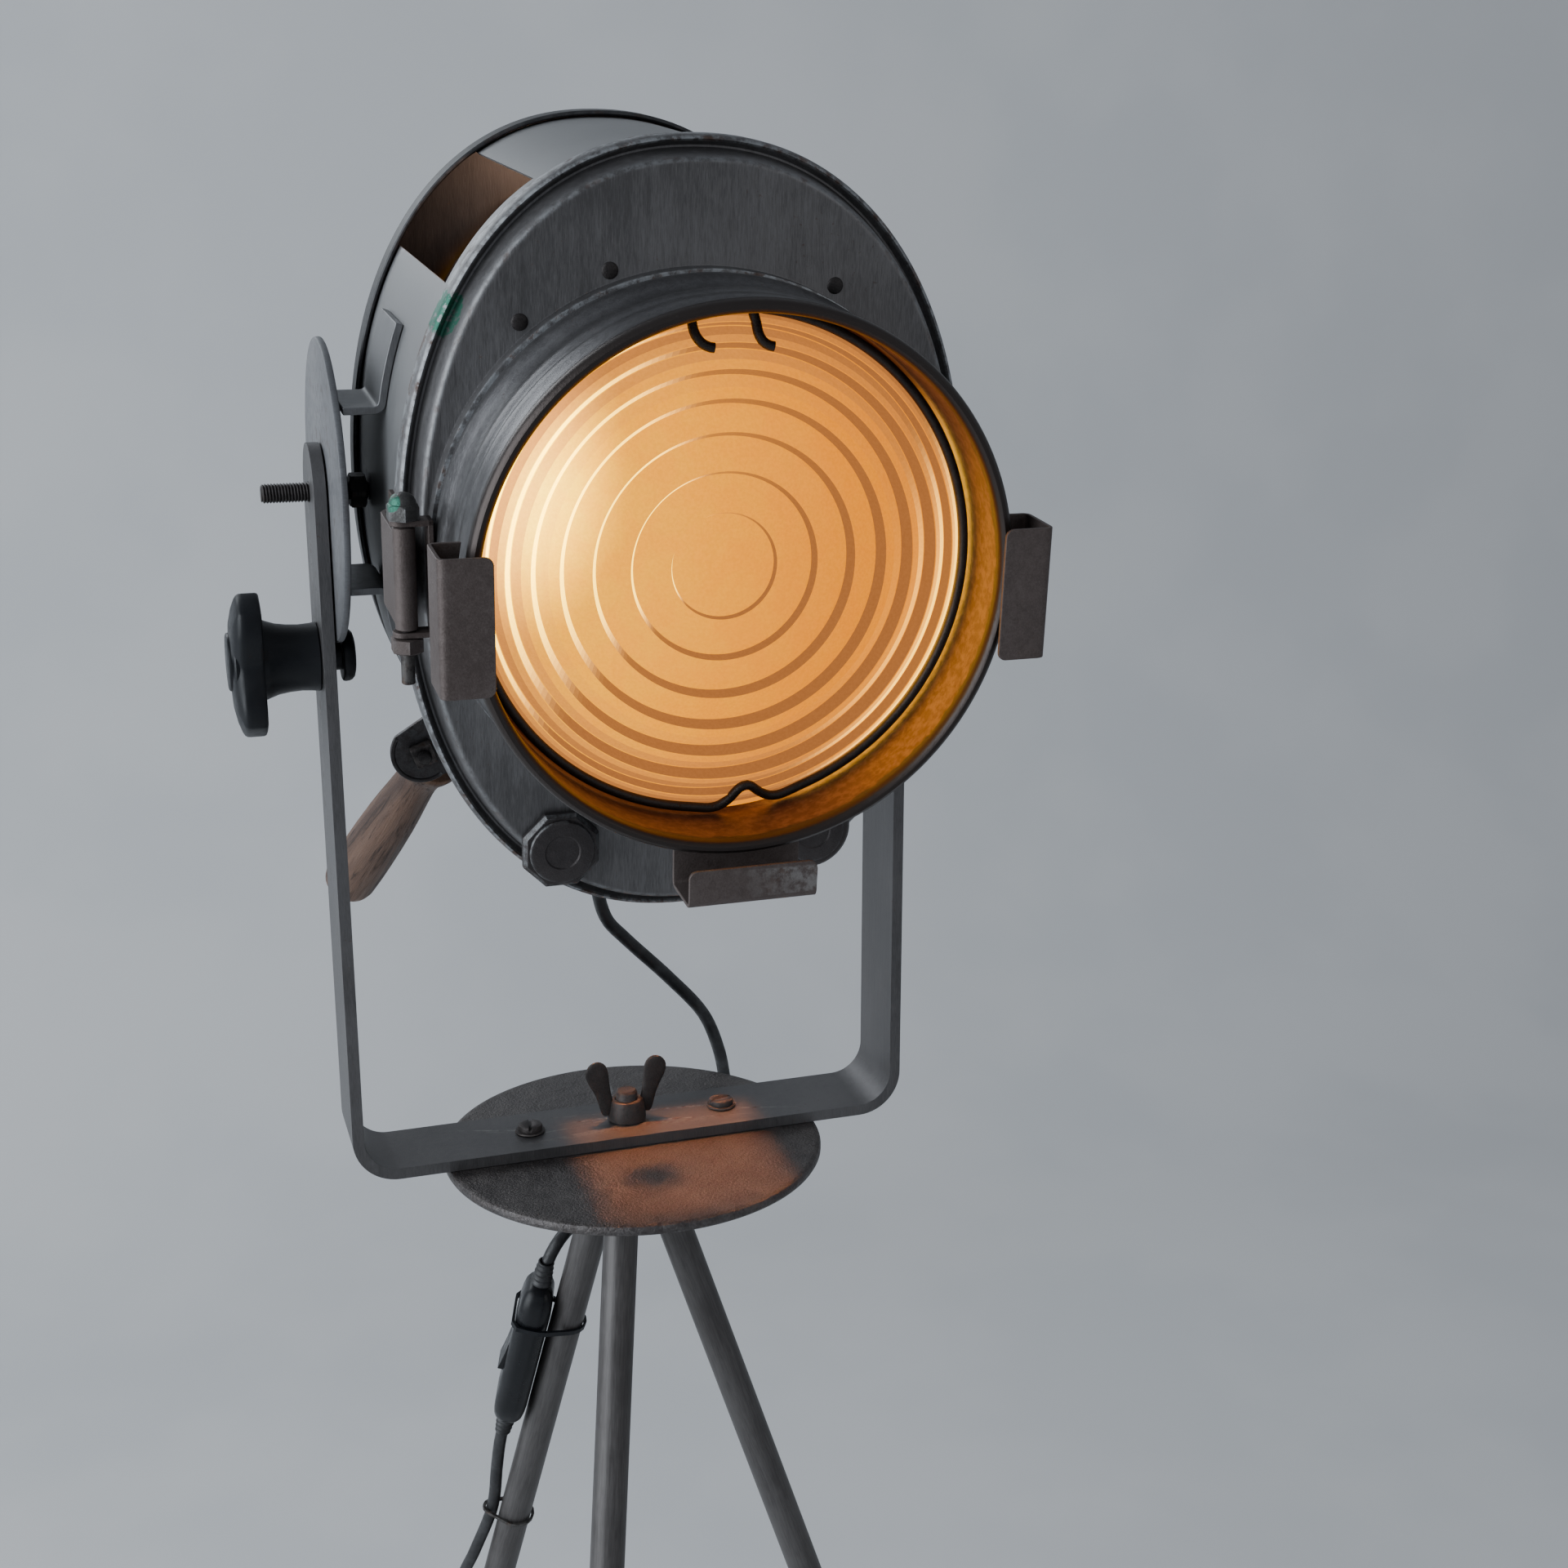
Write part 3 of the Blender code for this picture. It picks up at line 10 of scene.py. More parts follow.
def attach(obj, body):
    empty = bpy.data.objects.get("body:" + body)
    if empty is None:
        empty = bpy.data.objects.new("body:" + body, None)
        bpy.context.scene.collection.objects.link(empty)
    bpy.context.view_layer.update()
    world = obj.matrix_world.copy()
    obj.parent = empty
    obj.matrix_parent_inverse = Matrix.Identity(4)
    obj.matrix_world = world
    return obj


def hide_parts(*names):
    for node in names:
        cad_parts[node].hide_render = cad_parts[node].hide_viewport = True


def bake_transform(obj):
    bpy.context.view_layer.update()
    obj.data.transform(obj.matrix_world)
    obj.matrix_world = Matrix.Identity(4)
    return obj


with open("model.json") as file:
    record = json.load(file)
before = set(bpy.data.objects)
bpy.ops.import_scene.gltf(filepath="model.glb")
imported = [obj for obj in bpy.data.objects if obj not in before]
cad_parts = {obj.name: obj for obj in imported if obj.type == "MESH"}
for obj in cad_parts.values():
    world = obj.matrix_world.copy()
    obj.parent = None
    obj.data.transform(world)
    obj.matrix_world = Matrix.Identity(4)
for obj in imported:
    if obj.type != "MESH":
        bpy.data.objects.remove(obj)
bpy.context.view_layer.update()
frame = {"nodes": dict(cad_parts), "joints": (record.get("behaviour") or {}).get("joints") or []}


def mm(*lengths):
    """Lengths or points given in millimetres, or a colour in thousandths."""
    return [v / 1000 if isinstance(v, (int, float)) else tuple(c / 1000 for c in v) for v in lengths]


JOINTS = {joint["name"]: joint for joint in frame["joints"]}
PIVOT = Vector(JOINTS["tilt"]["pos_m"])
STAND = Vector(JOINTS["pan"]["pos_m"])  # the stand's axis at the plate's top
RISE = PIVOT.z - STAND.z
TILT = radians(5.5)
HEAD = Matrix.Translation(PIVOT) @ Matrix.Rotation(TILT, 4, "X")
TABLE = Matrix.Translation(STAND)
UP = Vector((0, 0, 1))
GAP = 0.0003

OVAL_POWER, OVAL_Z = 2.2, 0.0027
SHELL_W, SHELL_H = 0.207, 0.286
DOOR_W, DOOR_H = 0.2188, 0.2948
COVER_W, COVER_H = 0.2118, 0.2916
LENS_Z, LENS_RADIUS = 0.0056, 0.0925
# each lens zone's inner radius, height and draft
LENS_ZONES = mm(18.7, 33, 46.4, 57.8, 67.8, 76.8, 84.6)
LENS_RISES = mm(2.2, 3.2, 4.2, 4.7, 4.9, 4.7, 3.8)
LENS_DRAFT = mm(0.9, 1.6, 2.2, 2.6, 2.8, 2.8, 1.8)
LENS_TROUGH = 0.164
CLIP_BACK, CLIP_FRONT, CLIP_HALF = -0.182, -0.205, 0.024
SCREW_X = 0.0455
BORE = 0.0044
BOLT_HOLES = ((0, 0.0055), (-SCREW_X, 0.0043), (SCREW_X, 0.0043))
HINGE_X, HINGE_Y = -0.1098, -0.1413
HANDLE_BOLT = (-0.0827, -0.1215)  # across and up
GLAND = (-0.005, 0.012)  # across and back
YOKE_INNER, BAR_W, BAR_T, YOKE_BEND = 0.1225, 0.04, 0.005, 0.015
DISC_X, CLAMP_Z = -0.1216, -0.0685
PLATE_R, PLATE_T, PLATE_Y = 0.0863, 0.005, -0.011
LEG_R, LEG_SPLAY, LEG_TURN = 0.008, radians(18.1), radians(25.3)
LEG_DROP, LEG_TOP_R = 0.0172, 0.0107
CORD_R = 0.0031


# ---- mesh helpers
def shade(mesh, sharp=32):
    mesh.shade_smooth()
    mesh.set_sharp_from_angle(angle=radians(sharp))


def finish_mesh(bm, sharp=32):
    bmesh.ops.recalc_face_normals(bm, faces=bm.faces)
    mesh = bpy.data.meshes.new("piece")
    bm.to_mesh(mesh)
    bm.free()
    shade(mesh, sharp)
    return mesh


def skin(rings, closed=False, sharp=32):
    """Faces between rings of points; a ring of one point is a pole."""
    bm = bmesh.new()
    loops = [[bm.verts.new(point) for point in ring] for ring in rings]
    pairs = list(zip(loops, loops[1:]))
    if closed:
        pairs.append((loops[-1], loops[0]))
    for low, high in pairs:
        count = max(len(low), len(high))
        for i in range(count):
            j = (i + 1) % count
            corners = [low[i % len(low)], low[j % len(low)], high[j % len(high)], high[i % len(high)]]
            bm.faces.new(list(dict.fromkeys(corners)))
    if not closed:
        for loop in (loops[0], loops[-1]):
            if len(loop) > 1:
                bm.faces.new(loop)
    return finish_mesh(bm, sharp)


def circle(radius, steps):
    angles = [2 * pi * i / steps for i in range(steps)]
    return [(radius * cos(a), radius * sin(a)) for a in angles]


def lathe(profile, steps=64, closed=False):
    """Turns (radius, height) points about Z."""
    rings = []
    for radius, height in profile:
        ring = circle(radius, steps) if radius else [(0, 0)]
        rings.append([(x, y, height) for x, y in ring])
    return skin(rings, closed)


def prism(outline, low, high, axis="Z"):
    """Extrudes an outline along an axis."""
    def point(u, v, w):
        return {"X": (w, u, v), "Y": (u, w, v), "Z": (u, v, w)}[axis]
    return skin([[point(u, v, level) for u, v in outline] for level in (low, high)])


def arc(cx, cy, radius, start, end, steps):
    angles = [radians(start + (end - start) * i / steps) for i in range(steps + 1)]
    return [(cx + radius * cos(a), cy + radius * sin(a)) for a in angles]


def rounded_box(width, height, radius, steps=6, cx=0, cy=0):
    w, h = width / 2 - radius, height / 2 - radius
    points = []
    for sx, sy, start in ((1, 1, 0), (-1, 1, 90), (-1, -1, 180), (1, -1, 270)):
        points += arc(cx + sx * w, cy + sy * h, radius, start, start + 90, steps)
    return points


def rounded_path(points, radius, steps=6):
    """An open path with each corner turned into an arc."""
    path = [points[0]]
    for corner in zip(points, points[1:], points[2:]):
        p, q, r = map(Vector, corner)
        a, b = (p - q).normalized(), (r - q).normalized()
        half = a.angle(b) / 2
        reach = min(radius / tan(half), (p - q).length * 0.49, (r - q).length * 0.49)
        start, end = q + a * reach, q + b * reach
        for i in range(steps + 1):
            t = i / steps
            path.append(tuple((1 - t) ** 2 * start + 2 * t * (1 - t) * q + t * t * end))
    path.append(points[-1])
    return path


def strip(path, thickness):
    """The outline of a flat bar that follows a path of points."""
    left, right = [], []
    ways = [Vector((q[0] - p[0], q[1] - p[1])).normalized() for p, q in zip(path, path[1:])]
    for (x, y), first, second in zip(path, ways[:1] + ways, ways + ways[-1:]):
        middle = (first + second).normalized()
        reach = thickness / 2 / max(0.3, middle.dot(first))
        left.append((x - middle.y * reach, y + middle.x * reach))
        right.append((x + middle.y * reach, y - middle.x * reach))
    return left + right[::-1]


def oval_ring(width, height, inset, forward, steps=192):
    half_w, half_h, power = width / 2 - inset, height / 2 - inset, 2 / OVAL_POWER
    return [(half_w * copysign(abs(c) ** power, c), -forward, OVAL_Z + half_h * copysign(abs(s) ** power, s))
        for c, s in circle(1, steps)]


def lens_ring(radius, forward, steps=192):
    return [(x, -forward, LENS_Z + z) for x, z in circle(radius, steps)]


def flow(points, count):
    """A Catmull-Rom curve through points, with count points between each pair."""
    pts = [Vector(p) for p in points]
    pts = [2 * pts[0] - pts[1]] + pts + [2 * pts[-1] - pts[-2]]
    out = []
    for a, b, c, d in zip(pts, pts[1:], pts[2:], pts[3:]):
        for i in range(count):
            t = i / count
            square, cube = 2 * a - 5 * b + 4 * c - d, 3 * b - a - 3 * c + d
            out.append(0.5 * (2 * b + (c - a) * t + square * t * t + cube * t ** 3))
    return out + [pts[-2]]


def length_of(points):
    return sum((q - p).length for p, q in zip(points, points[1:]))


def even(points, spacing):
    """The same line with evenly spaced points."""
    total = length_of(points)
    step = total / max(1, round(total / spacing))
    route, run, goal = [points[0]], 0, step
    for p, q in zip(points, points[1:]):
        length = (q - p).length
        while run + length >= goal - 1e-9 and goal < total - step / 2:
            route.append(p.lerp(q, (goal - run) / length))
            goal += step
        run += length
    return route + [points[-1]]


def add(name, data):
    thing = bpy.data.objects.new(name, data)
    bpy.context.scene.collection.objects.link(thing)
    return thing


def make(name, mesh, mat, matrix=None):
    thing = add(name, mesh)
    thing.matrix_world = matrix or Matrix()
    if mat:
        mesh.materials.clear()
        mesh.materials.append(mat)
    return thing


def piece(name, mesh, kind, matrix=HEAD, replaces=(), bevel=0):
    """A visible piece; its kind says the material, the body it rides (or none) and a slot, which is not used.
    """
    look, body, slot = kind.split()
    thing = make(name, mesh, MATS[look], matrix)
    if bevel:
        soften(thing, bevel)
    if body != "none":
        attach(thing, body)
    if replaces:
        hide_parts(*([replaces] if isinstance(replaces, str) else replaces))
    return thing


def soften(thing, width, segments=2):
    change = thing.modifiers.new("Bevel", "BEVEL")
    change.width = width
    change.segments = segments
    change.limit_method = "ANGLE"
    change.angle_limit = radians(35)
    change.harden_normals = True


def joined(*meshes):
    """Several meshes as one."""
    bm = bmesh.new()
    for mesh in meshes:
        bm.from_mesh(mesh)
    return finish_mesh(bm)


def moved(mesh, matrix):
    mesh.transform(matrix)
    return mesh


def cut(thing, mesh):
    """Cuts away a mesh given in the thing's own coordinates."""
    tool = make("tool", mesh, None, thing.matrix_world)
    change = thing.modifiers.new("Cut", "BOOLEAN")
    change.operation = "DIFFERENCE"
    change.object = tool
    bpy.context.view_layer.update()
    result = bpy.data.meshes.new_from_object(thing.evaluated_get(bpy.context.evaluated_depsgraph_get()))
    thing.modifiers.clear()
    thing.data = result
    bpy.data.objects.remove(tool)


def spin(axis, degrees):
    return Matrix.Rotation(radians(degrees), 4, axis)


def shift(x, y, z):
    return Matrix.Translation((x, y, z))


def towards(direction):
    """Turns Z to a direction."""
    return direction.to_track_quat("Z", "Y").to_matrix().to_4x4()


# ---- materials
class Graph:
    """A node material, built up from its Principled shader."""

    def __init__(self, name, metallic=0, roughness=0.5, **sockets):
        self.mat = bpy.data.materials.new(name)
        self.mat.use_nodes = True
        self.tree = self.mat.node_tree
        self.shader = self.tree.nodes["Principled BSDF"]
        self.shader.inputs["Metallic"].default_value = metallic
        self.shader.inputs["Roughness"].default_value = roughness
        for socket, value in sockets.items():
            self.shader.inputs[socket.replace("_", " ")].default_value = value
        self.coords = self.node("TexCoord").outputs["Object"]

    def node(self, kind, values=(), **settings):
        node = self.tree.nodes.new("ShaderNode" + kind)
        for key, value in settings.items():
            setattr(node, key, value)
        for socket, value in dict(values).items():
            self.put(node.inputs[socket], value)
        return node

    def put(self, socket, value):
        if isinstance(value, bpy.types.NodeSocket):
            self.tree.links.new(value, socket)
        else:
            socket.default_value = value

    def stretch(self, scale):
        return self.node("Mapping", {"Vector": self.coords, "Scale": scale}).outputs["Vector"]

    def noise(self, scale, detail, rough, vector=None, distort=0):
        values = {"Vector": vector or self.coords, "Scale": scale, "Detail": detail, "Roughness": rough,
            "Distortion": distort}
        return self.node("TexNoise", values).outputs["Fac"]

    def ramp(self, value, low, high, a=0, b=1):
        values = {"Value": value, "From Min": low, "From Max": high, "To Min": a, "To Max": b}
        return self.node("MapRange", values, interpolation_type="SMOOTHSTEP").outputs["Result"]

    def op(self, operation, a, b=0):
        return self.node("Math", {0: a, 1: b}, operation=operation).outputs[0]

    def plus(self, a, b):
        return self.op("ADD", a, b)

    def times(self, a, b):
        return self.op("MULTIPLY", a, b)

    def vector(self, operation, *values):
        return self.node("VectorMath", enumerate(values), operation=operation)

    def split(self, vector):
        return self.node("SeparateXYZ", {0: vector}).outputs

    def mix(self, share, a, b):
        node = self.node("Mix", {"Factor": share}, data_type="RGBA")
        for socket, colour in ((node.inputs["A"], a), (node.inputs["B"], b)):
            self.put(socket, colour if isinstance(colour, bpy.types.NodeSocket) else (*colour, 1))
        return node.outputs["Result"]

    def edges(self, low, high):
        return self.ramp(self.node("NewGeometry").outputs["Pointiness"], low, high)

    def patch(self, scale, detail, rough, low, high, a=0, b=1):
        return self.ramp(self.noise(scale, detail, rough), low, high, a, b)

    def done(self, base, rough=None, height=None, relief=0):
        """Links the colour, roughness and relief, and returns the material."""
        self.put(self.shader.inputs["Base Color"], base)
        if rough:
            self.put(self.shader.inputs["Roughness"], rough)
        if height:
            node = self.node("Bump", {"Height": height, "Distance": relief, "Strength": 1})
            self.put(self.shader.inputs["Normal"], node.outputs["Normal"])
        return self.mat


def metal(name, dark, light, rust=0.5, metallic=0.75, roughness=0.46, grain=(1, 1, 0.1), scale=2400,
        relief=0.00008, wear_and_highlight=(0.26, 0.26, 0.27), wear_and_highlight_at=(0.53, 0.62), paint=None, painted_glow_and_rim=False):
    """Aged steel: a drawn grain, tarnish, rust and worn edges (on the door partly a painted highlight); also a
    paint mark or a painted warm glow inside the hood's bore.
    """
    g = Graph(name, metallic=metallic)
    fine = g.noise(scale, 3, 0.6, g.stretch(grain), 0.3)
    coarse = g.noise(scale / 6, 4, 0.6, g.stretch(grain))
    cloud = g.noise(16, 5, 0.6)
    tone = g.plus(g.times(fine, 0.34), g.plus(g.times(coarse, 0.22), g.times(cloud, 0.44)))
    base = g.mix(g.ramp(tone, 0.38, 0.62), dark, light)
    freckle = g.times(g.patch(520, 5, 0.7, 0.6, 0.7), g.patch(34, 3, 0.6, 0.52, 0.68))
    # worn edges: bare metal showing through, and on the door, with its low threshold, partly a painted
    # highlight on the lip's bead
    edge = g.edges(*wear_and_highlight_at)
    worn_and_highlight = g.times(edge, g.patch(240, 4, 0.7, 0.38, 0.6))
    base = g.mix(worn_and_highlight, base, wear_and_highlight)
    stain = g.times(freckle, rust)
    rim = g.times(g.times(edge, g.patch(110, 5, 0.7, 0.54, 0.62)), rust)
    spots = g.op("MAXIMUM", stain, rim)
    base = g.mix(spots, base, (0.085, 0.04, 0.022))
    if painted_glow_and_rim:
        # painted glow: a warmer, lighter brown inside the hood's bore stands in for the lens light falling on
        # it; the band below is the hood's dark front rim
        axis = g.vector("MULTIPLY_ADD", g.coords, (1, 0, 1), (0, 0, -LENS_Z))
        reach = g.vector("LENGTH", axis.outputs["Vector"])
        inside = g.ramp(reach.outputs["Value"], 0.0942, 0.0946, 1, 0)
        painted_inner_glow = g.mix(g.patch(300, 4, 0.65, 0.4, 0.62), (0.135, 0.072, 0.054), (0.215, 0.125, 0.095))
        base = g.mix(inside, base, painted_inner_glow)
        band = g.plus(g.split(g.coords)["Y"], g.times(g.noise(160, 4, 0.6), 0.008))
        base = g.mix(g.ramp(band, -0.188, -0.1855, 1, 0), base, (0.046, 0.038, 0.035))
    if paint:
        centre, radius = paint
        offset = g.vector("DISTANCE", g.coords, centre)
        near = g.ramp(offset.outputs["Value"], radius * 0.6, radius, 1, 0)
        mark = g.ramp(g.plus(near, g.times(g.noise(330, 4, 0.7), 1.3)), 1.5, 1.62)
        base = g.mix(mark, base, (0.038, 0.14, 0.1))
    rough = g.plus(g.ramp(tone, 0.3, 0.7, roughness - 0.07, roughness + 0.09), g.times(spots, 0.25))
    height = g.plus(g.plus(g.times(fine, 0.6), g.times(coarse, 0.8)), g.times(spots, -0.8))
    return g.done(base, rough, height, relief)


def plastic(name, base, roughness, dust, relief=0.00004):
    g = Graph(name, roughness=roughness, Specular_IOR_Level=0.3)
    film = g.patch(60, 6, 0.7, 0.45, 0.75)
    return g.done(g.mix(g.times(film, dust), base, (0.1, 0.1, 0.105)),
        g.patch(130, 4, 0.6, 0.3, 0.7, roughness - 0.06, roughness + 0.12), g.noise(1500, 2, 0.5), relief)


def rubber(name, base=(0.012, 0.012, 0.013), roughness=0.5):
    g = Graph(name, roughness=roughness)
    return g.done(g.mix(g.patch(90, 5, 0.65, 0.4, 0.8), base, (0.045, 0.045, 0.048)),
        g.patch(300, 4, 0.6, 0.3, 0.7, roughness - 0.08, roughness + 0.15), g.noise(1800, 3, 0.6), 0.00005)


def wood(name):
    """Turned hardwood, its grain along Z, rubbed pale on the high rings."""
    g = Graph(name, roughness=0.5)
    along = g.stretch((1, 1, 0.07))
    grain = g.noise(420, 6, 0.7, along, 1.2)
    band = g.noise(90, 4, 0.6, along, 0.8)
    tone = g.mix(g.ramp(band, 0.35, 0.65), (0.048, 0.024, 0.016), (0.13, 0.072, 0.046))
    tone = g.mix(g.ramp(grain, 0.5, 0.68), tone, (0.022, 0.012, 0.009))
    rubbed = g.times(g.edges(0.51, 0.58), g.patch(60, 4, 0.6, 0.4, 0.6))
    return g.done(g.mix(rubbed, tone, (0.3, 0.165, 0.095)), g.ramp(grain, 0.3, 0.7, 0.4, 0.68), grain, 0.0006)


def lens_glass():
    """Stepped glass lit from behind: amber, with a hot spot on the bulb's side."""
    g = Graph("lens_glass", roughness=0.22, Specular_IOR_Level=0.12)
    place = g.split(g.coords)

    def falloff(cx, cz, near, far, squash):
        dx = g.op("SUBTRACT", place["X"], cx)
        dz = g.times(g.op("SUBTRACT", place["Z"], cz), squash)
        reach = g.op("SQRT", g.plus(g.times(dx, dx), g.times(dz, dz)))
        return g.ramp(reach, near, far, 1, 0)

    hot = falloff(-0.078, 0.04, 0.002, 0.046, 0.72)
    warm = falloff(-0.085, 0.02, 0.02, 0.15, 0.7)
    painted_lens_glow = g.mix(warm, (1, 0.295, 0), (1, 0.41, 0))
    painted_lens_glow = g.mix(hot, painted_lens_glow, (1, 0.64, 0.03))
    cloud = g.noise(95, 4, 0.6)
    painted_lens_glow = g.mix(g.ramp(cloud, 0.35, 0.65, 0, 0.16), painted_lens_glow, (1, 0.2, 0))
    speck = g.patch(700, 4, 0.7, 0.7, 0.75)
    painted_lens_glow = g.mix(g.times(speck, 0.35), painted_lens_glow, (0.55, 0.09, 0))
    facing = g.node("VectorTransform", vector_type="NORMAL", convert_from="WORLD", convert_to="OBJECT")
    g.put(facing.inputs[0], g.node("NewGeometry").outputs["True Normal"])
    normal = g.split(facing.outputs[0])
    riser = g.ramp(g.op("ABSOLUTE", normal["Y"]), 0.6, 0.86, 1, 0)
    # risers turned to the bulb's side shine, the others are in shade
    turned = g.ramp(g.plus(g.times(normal["X"], 0.94), g.times(normal["Z"], -0.34)), 0.36, 0.82)
    shade = g.mix(turned, (1, 0.35, 0.09), (1, 0.6, 0.05))
    painted_lens_glow = g.mix(riser, painted_lens_glow, shade)
    # painted glow: this colour, with its hot spot and shaded risers, is emission standing in for the bulb's
    # light
    g.put(g.shader.inputs["Emission Color"], painted_lens_glow)
    glow = g.plus(g.plus(1.28, g.times(warm, 0.6)), g.times(hot, 5.5))
    edge = g.ramp(turned, 0, 1, 0.46, 5)
    power = g.plus(g.times(glow, g.op("SUBTRACT", 1, riser)), g.times(g.times(edge, riser),
        g.ramp(glow, 1, 6, 0.95, 2.2)))
    g.put(g.shader.inputs["Emission Strength"], g.times(power, g.patch(900, 3, 0.6, 0.3, 0.7, 0.93, 1.05)))
    return g.done((0.03, 0.008, 0.001, 1), None, g.noise(600, 3, 0.6), 0.00008)


def make_materials():
    pitted = dict(grain=(1, 1, 1), scale=1500, relief=0.00022)
    mats = {}
    for key, dark, light, look in (
        ("sheet", (165, 167, 170), (205, 207, 210), dict(rust=0.25, roughness=0.5, metallic=0.6,
            relief=0.00003)),
        # the door's edge colour reaches far onto the lip's bead: wear, and partly a painted highlight there
        ("door", (86, 83, 84), (150, 146, 148), dict(rust=0.6, relief=0.00012, wear_and_highlight_at=(0.515, 0.56),
            wear_and_highlight=(0.27, 0.28, 0.29), paint=((-0.089, -0.119, 0.089), 0.012))),
        ("hood", (100, 98, 101), (165, 162, 165), dict(rust=0.8, metallic=0.85, roughness=0.36,
            wear_and_highlight_at=(0.535, 0.6), wear_and_highlight=(0.27, 0.28, 0.295), relief=0.0001, painted_glow_and_rim=True)),
        ("cover", (20, 20, 22), (36, 36, 38), dict(rust=0.5, metallic=0.5, wear_and_highlight=(0.09, 0.09, 0.095))),
        ("clip", (70, 53, 48), (110, 89, 83), dict(rust=0.5, metallic=0.5, roughness=0.52,
            wear_and_highlight=(0.2, 0.19, 0.185), wear_and_highlight_at=(0.57, 0.66), **pitted)),
        ("cap", (44, 39, 39), (66, 59, 59), dict(rust=0.4, wear_and_highlight=(0.25, 0.27, 0.28), **pitted)),
        ("acorn", (60, 58, 56), (100, 98, 95), dict(rust=0.9, paint=((-0.004, -0.002, 0.0285), 0.005),
            **pitted)),
        ("bar", (86, 83, 84), (134, 130, 132), dict(rust=0.7, relief=0.00012, wear_and_highlight_at=(0.56, 0.66),
            wear_and_highlight=(0.22, 0.215, 0.21))),
        ("strap", (130, 131, 135), (185, 187, 192), dict(rust=0.4, relief=0.00006)),
        ("disc", (140, 142, 150), (200, 204, 214), dict(rust=0.5, roughness=0.5, grain=(1, 1, 0.3))),
        ("dark", (20, 17, 17), (40, 35, 34), dict(rust=0.6, metallic=0.6, roughness=0.5,
            wear_and_highlight=(0.1, 0.095, 0.09), **pitted)),
        ("rusty", (36, 31, 30), (70, 60, 57), dict(rust=1, metallic=0.55, roughness=0.55,
            wear_and_highlight=(0.16, 0.14, 0.13), **pitted)),
        ("plate", (48, 42, 41), (110, 100, 96), dict(rust=0.9, metallic=0.7, roughness=0.44,
            grain=(1, 1, 1), scale=800, relief=0.0011)),
        ("wire", (24, 20, 18), (46, 37, 32), dict(rust=0.8, roughness=0.42, wear_and_highlight_at=(2, 3), **pitted)),
        ("baffle", (50, 28, 22), (95, 50, 36), dict(rust=1, metallic=0.3, roughness=0.7,
            wear_and_highlight=(0.08, 0.05, 0.04), **pitted)),
    ):
        mats[key] = metal(key + "_steel", mm(*dark), mm(*light), **look)
    mats |= {
        "leg": metal("leg_paint", (0.056, 0.051, 0.05), (0.104, 0.098, 0.096), rust=0.45, metallic=0.45,
            roughness=0.44, grain=(1, 1, 0.06), scale=1600, relief=0.00004, wear_and_highlight_at=(2, 3)),
        "black": plastic("black_plastic", (0.004, 0.005, 0.007), 0.38, 0.03),
        "switch": plastic("switch_plastic", (0.006, 0.0065, 0.008), 0.3, 0.04, relief=0.00001),
        "rubber": rubber("black_rubber"),
        "cord": rubber("cord_sheath", (0.01, 0.01, 0.011), 0.42),
        "wood": wood("worn_wood"),
        "glass": lens_glass(),
    }
    g = Graph("bulb_glass", roughness=0.05, Transmission_Weight=0.9, IOR=1.46)
    mats["bulb"] = g.done(g.mix(g.patch(40, 3, 0.5, 0.4, 0.7), (1, 0.92, 0.75), (0.92, 0.85, 0.7)),
        g.patch(70, 3, 0.6, 0.4, 0.8, 0.03, 0.12))
    g = Graph("reflector_mirror", metallic=1, roughness=0.14)
    mats["mirror"] = g.done(g.mix(g.patch(50, 5, 0.6, 0.4, 0.7), (0.86, 0.86, 0.87), (0.62, 0.6, 0.56)),
        g.patch(200, 4, 0.6, 0.4, 0.8, 0.1, 0.3))
    g = Graph("ceramic", roughness=0.4)
    mats["ceramic"] = g.done(g.mix(g.patch(90, 5, 0.6, 0.4, 0.75), (0.78, 0.75, 0.68), (0.5, 0.44, 0.36)),
        height=g.noise(900, 3, 0.6), relief=0.00006)
    return mats


MATS = make_materials()


# ---- camera, light, floor
def lamp(name, kind, place, power, colour, **settings):
    data = bpy.data.lights.new(name, kind)
    data.energy, data.color = power, colour
    for key, value in settings.items():
        setattr(data, key, value)
    thing = add(name, data)
    thing.location = place
    return thing


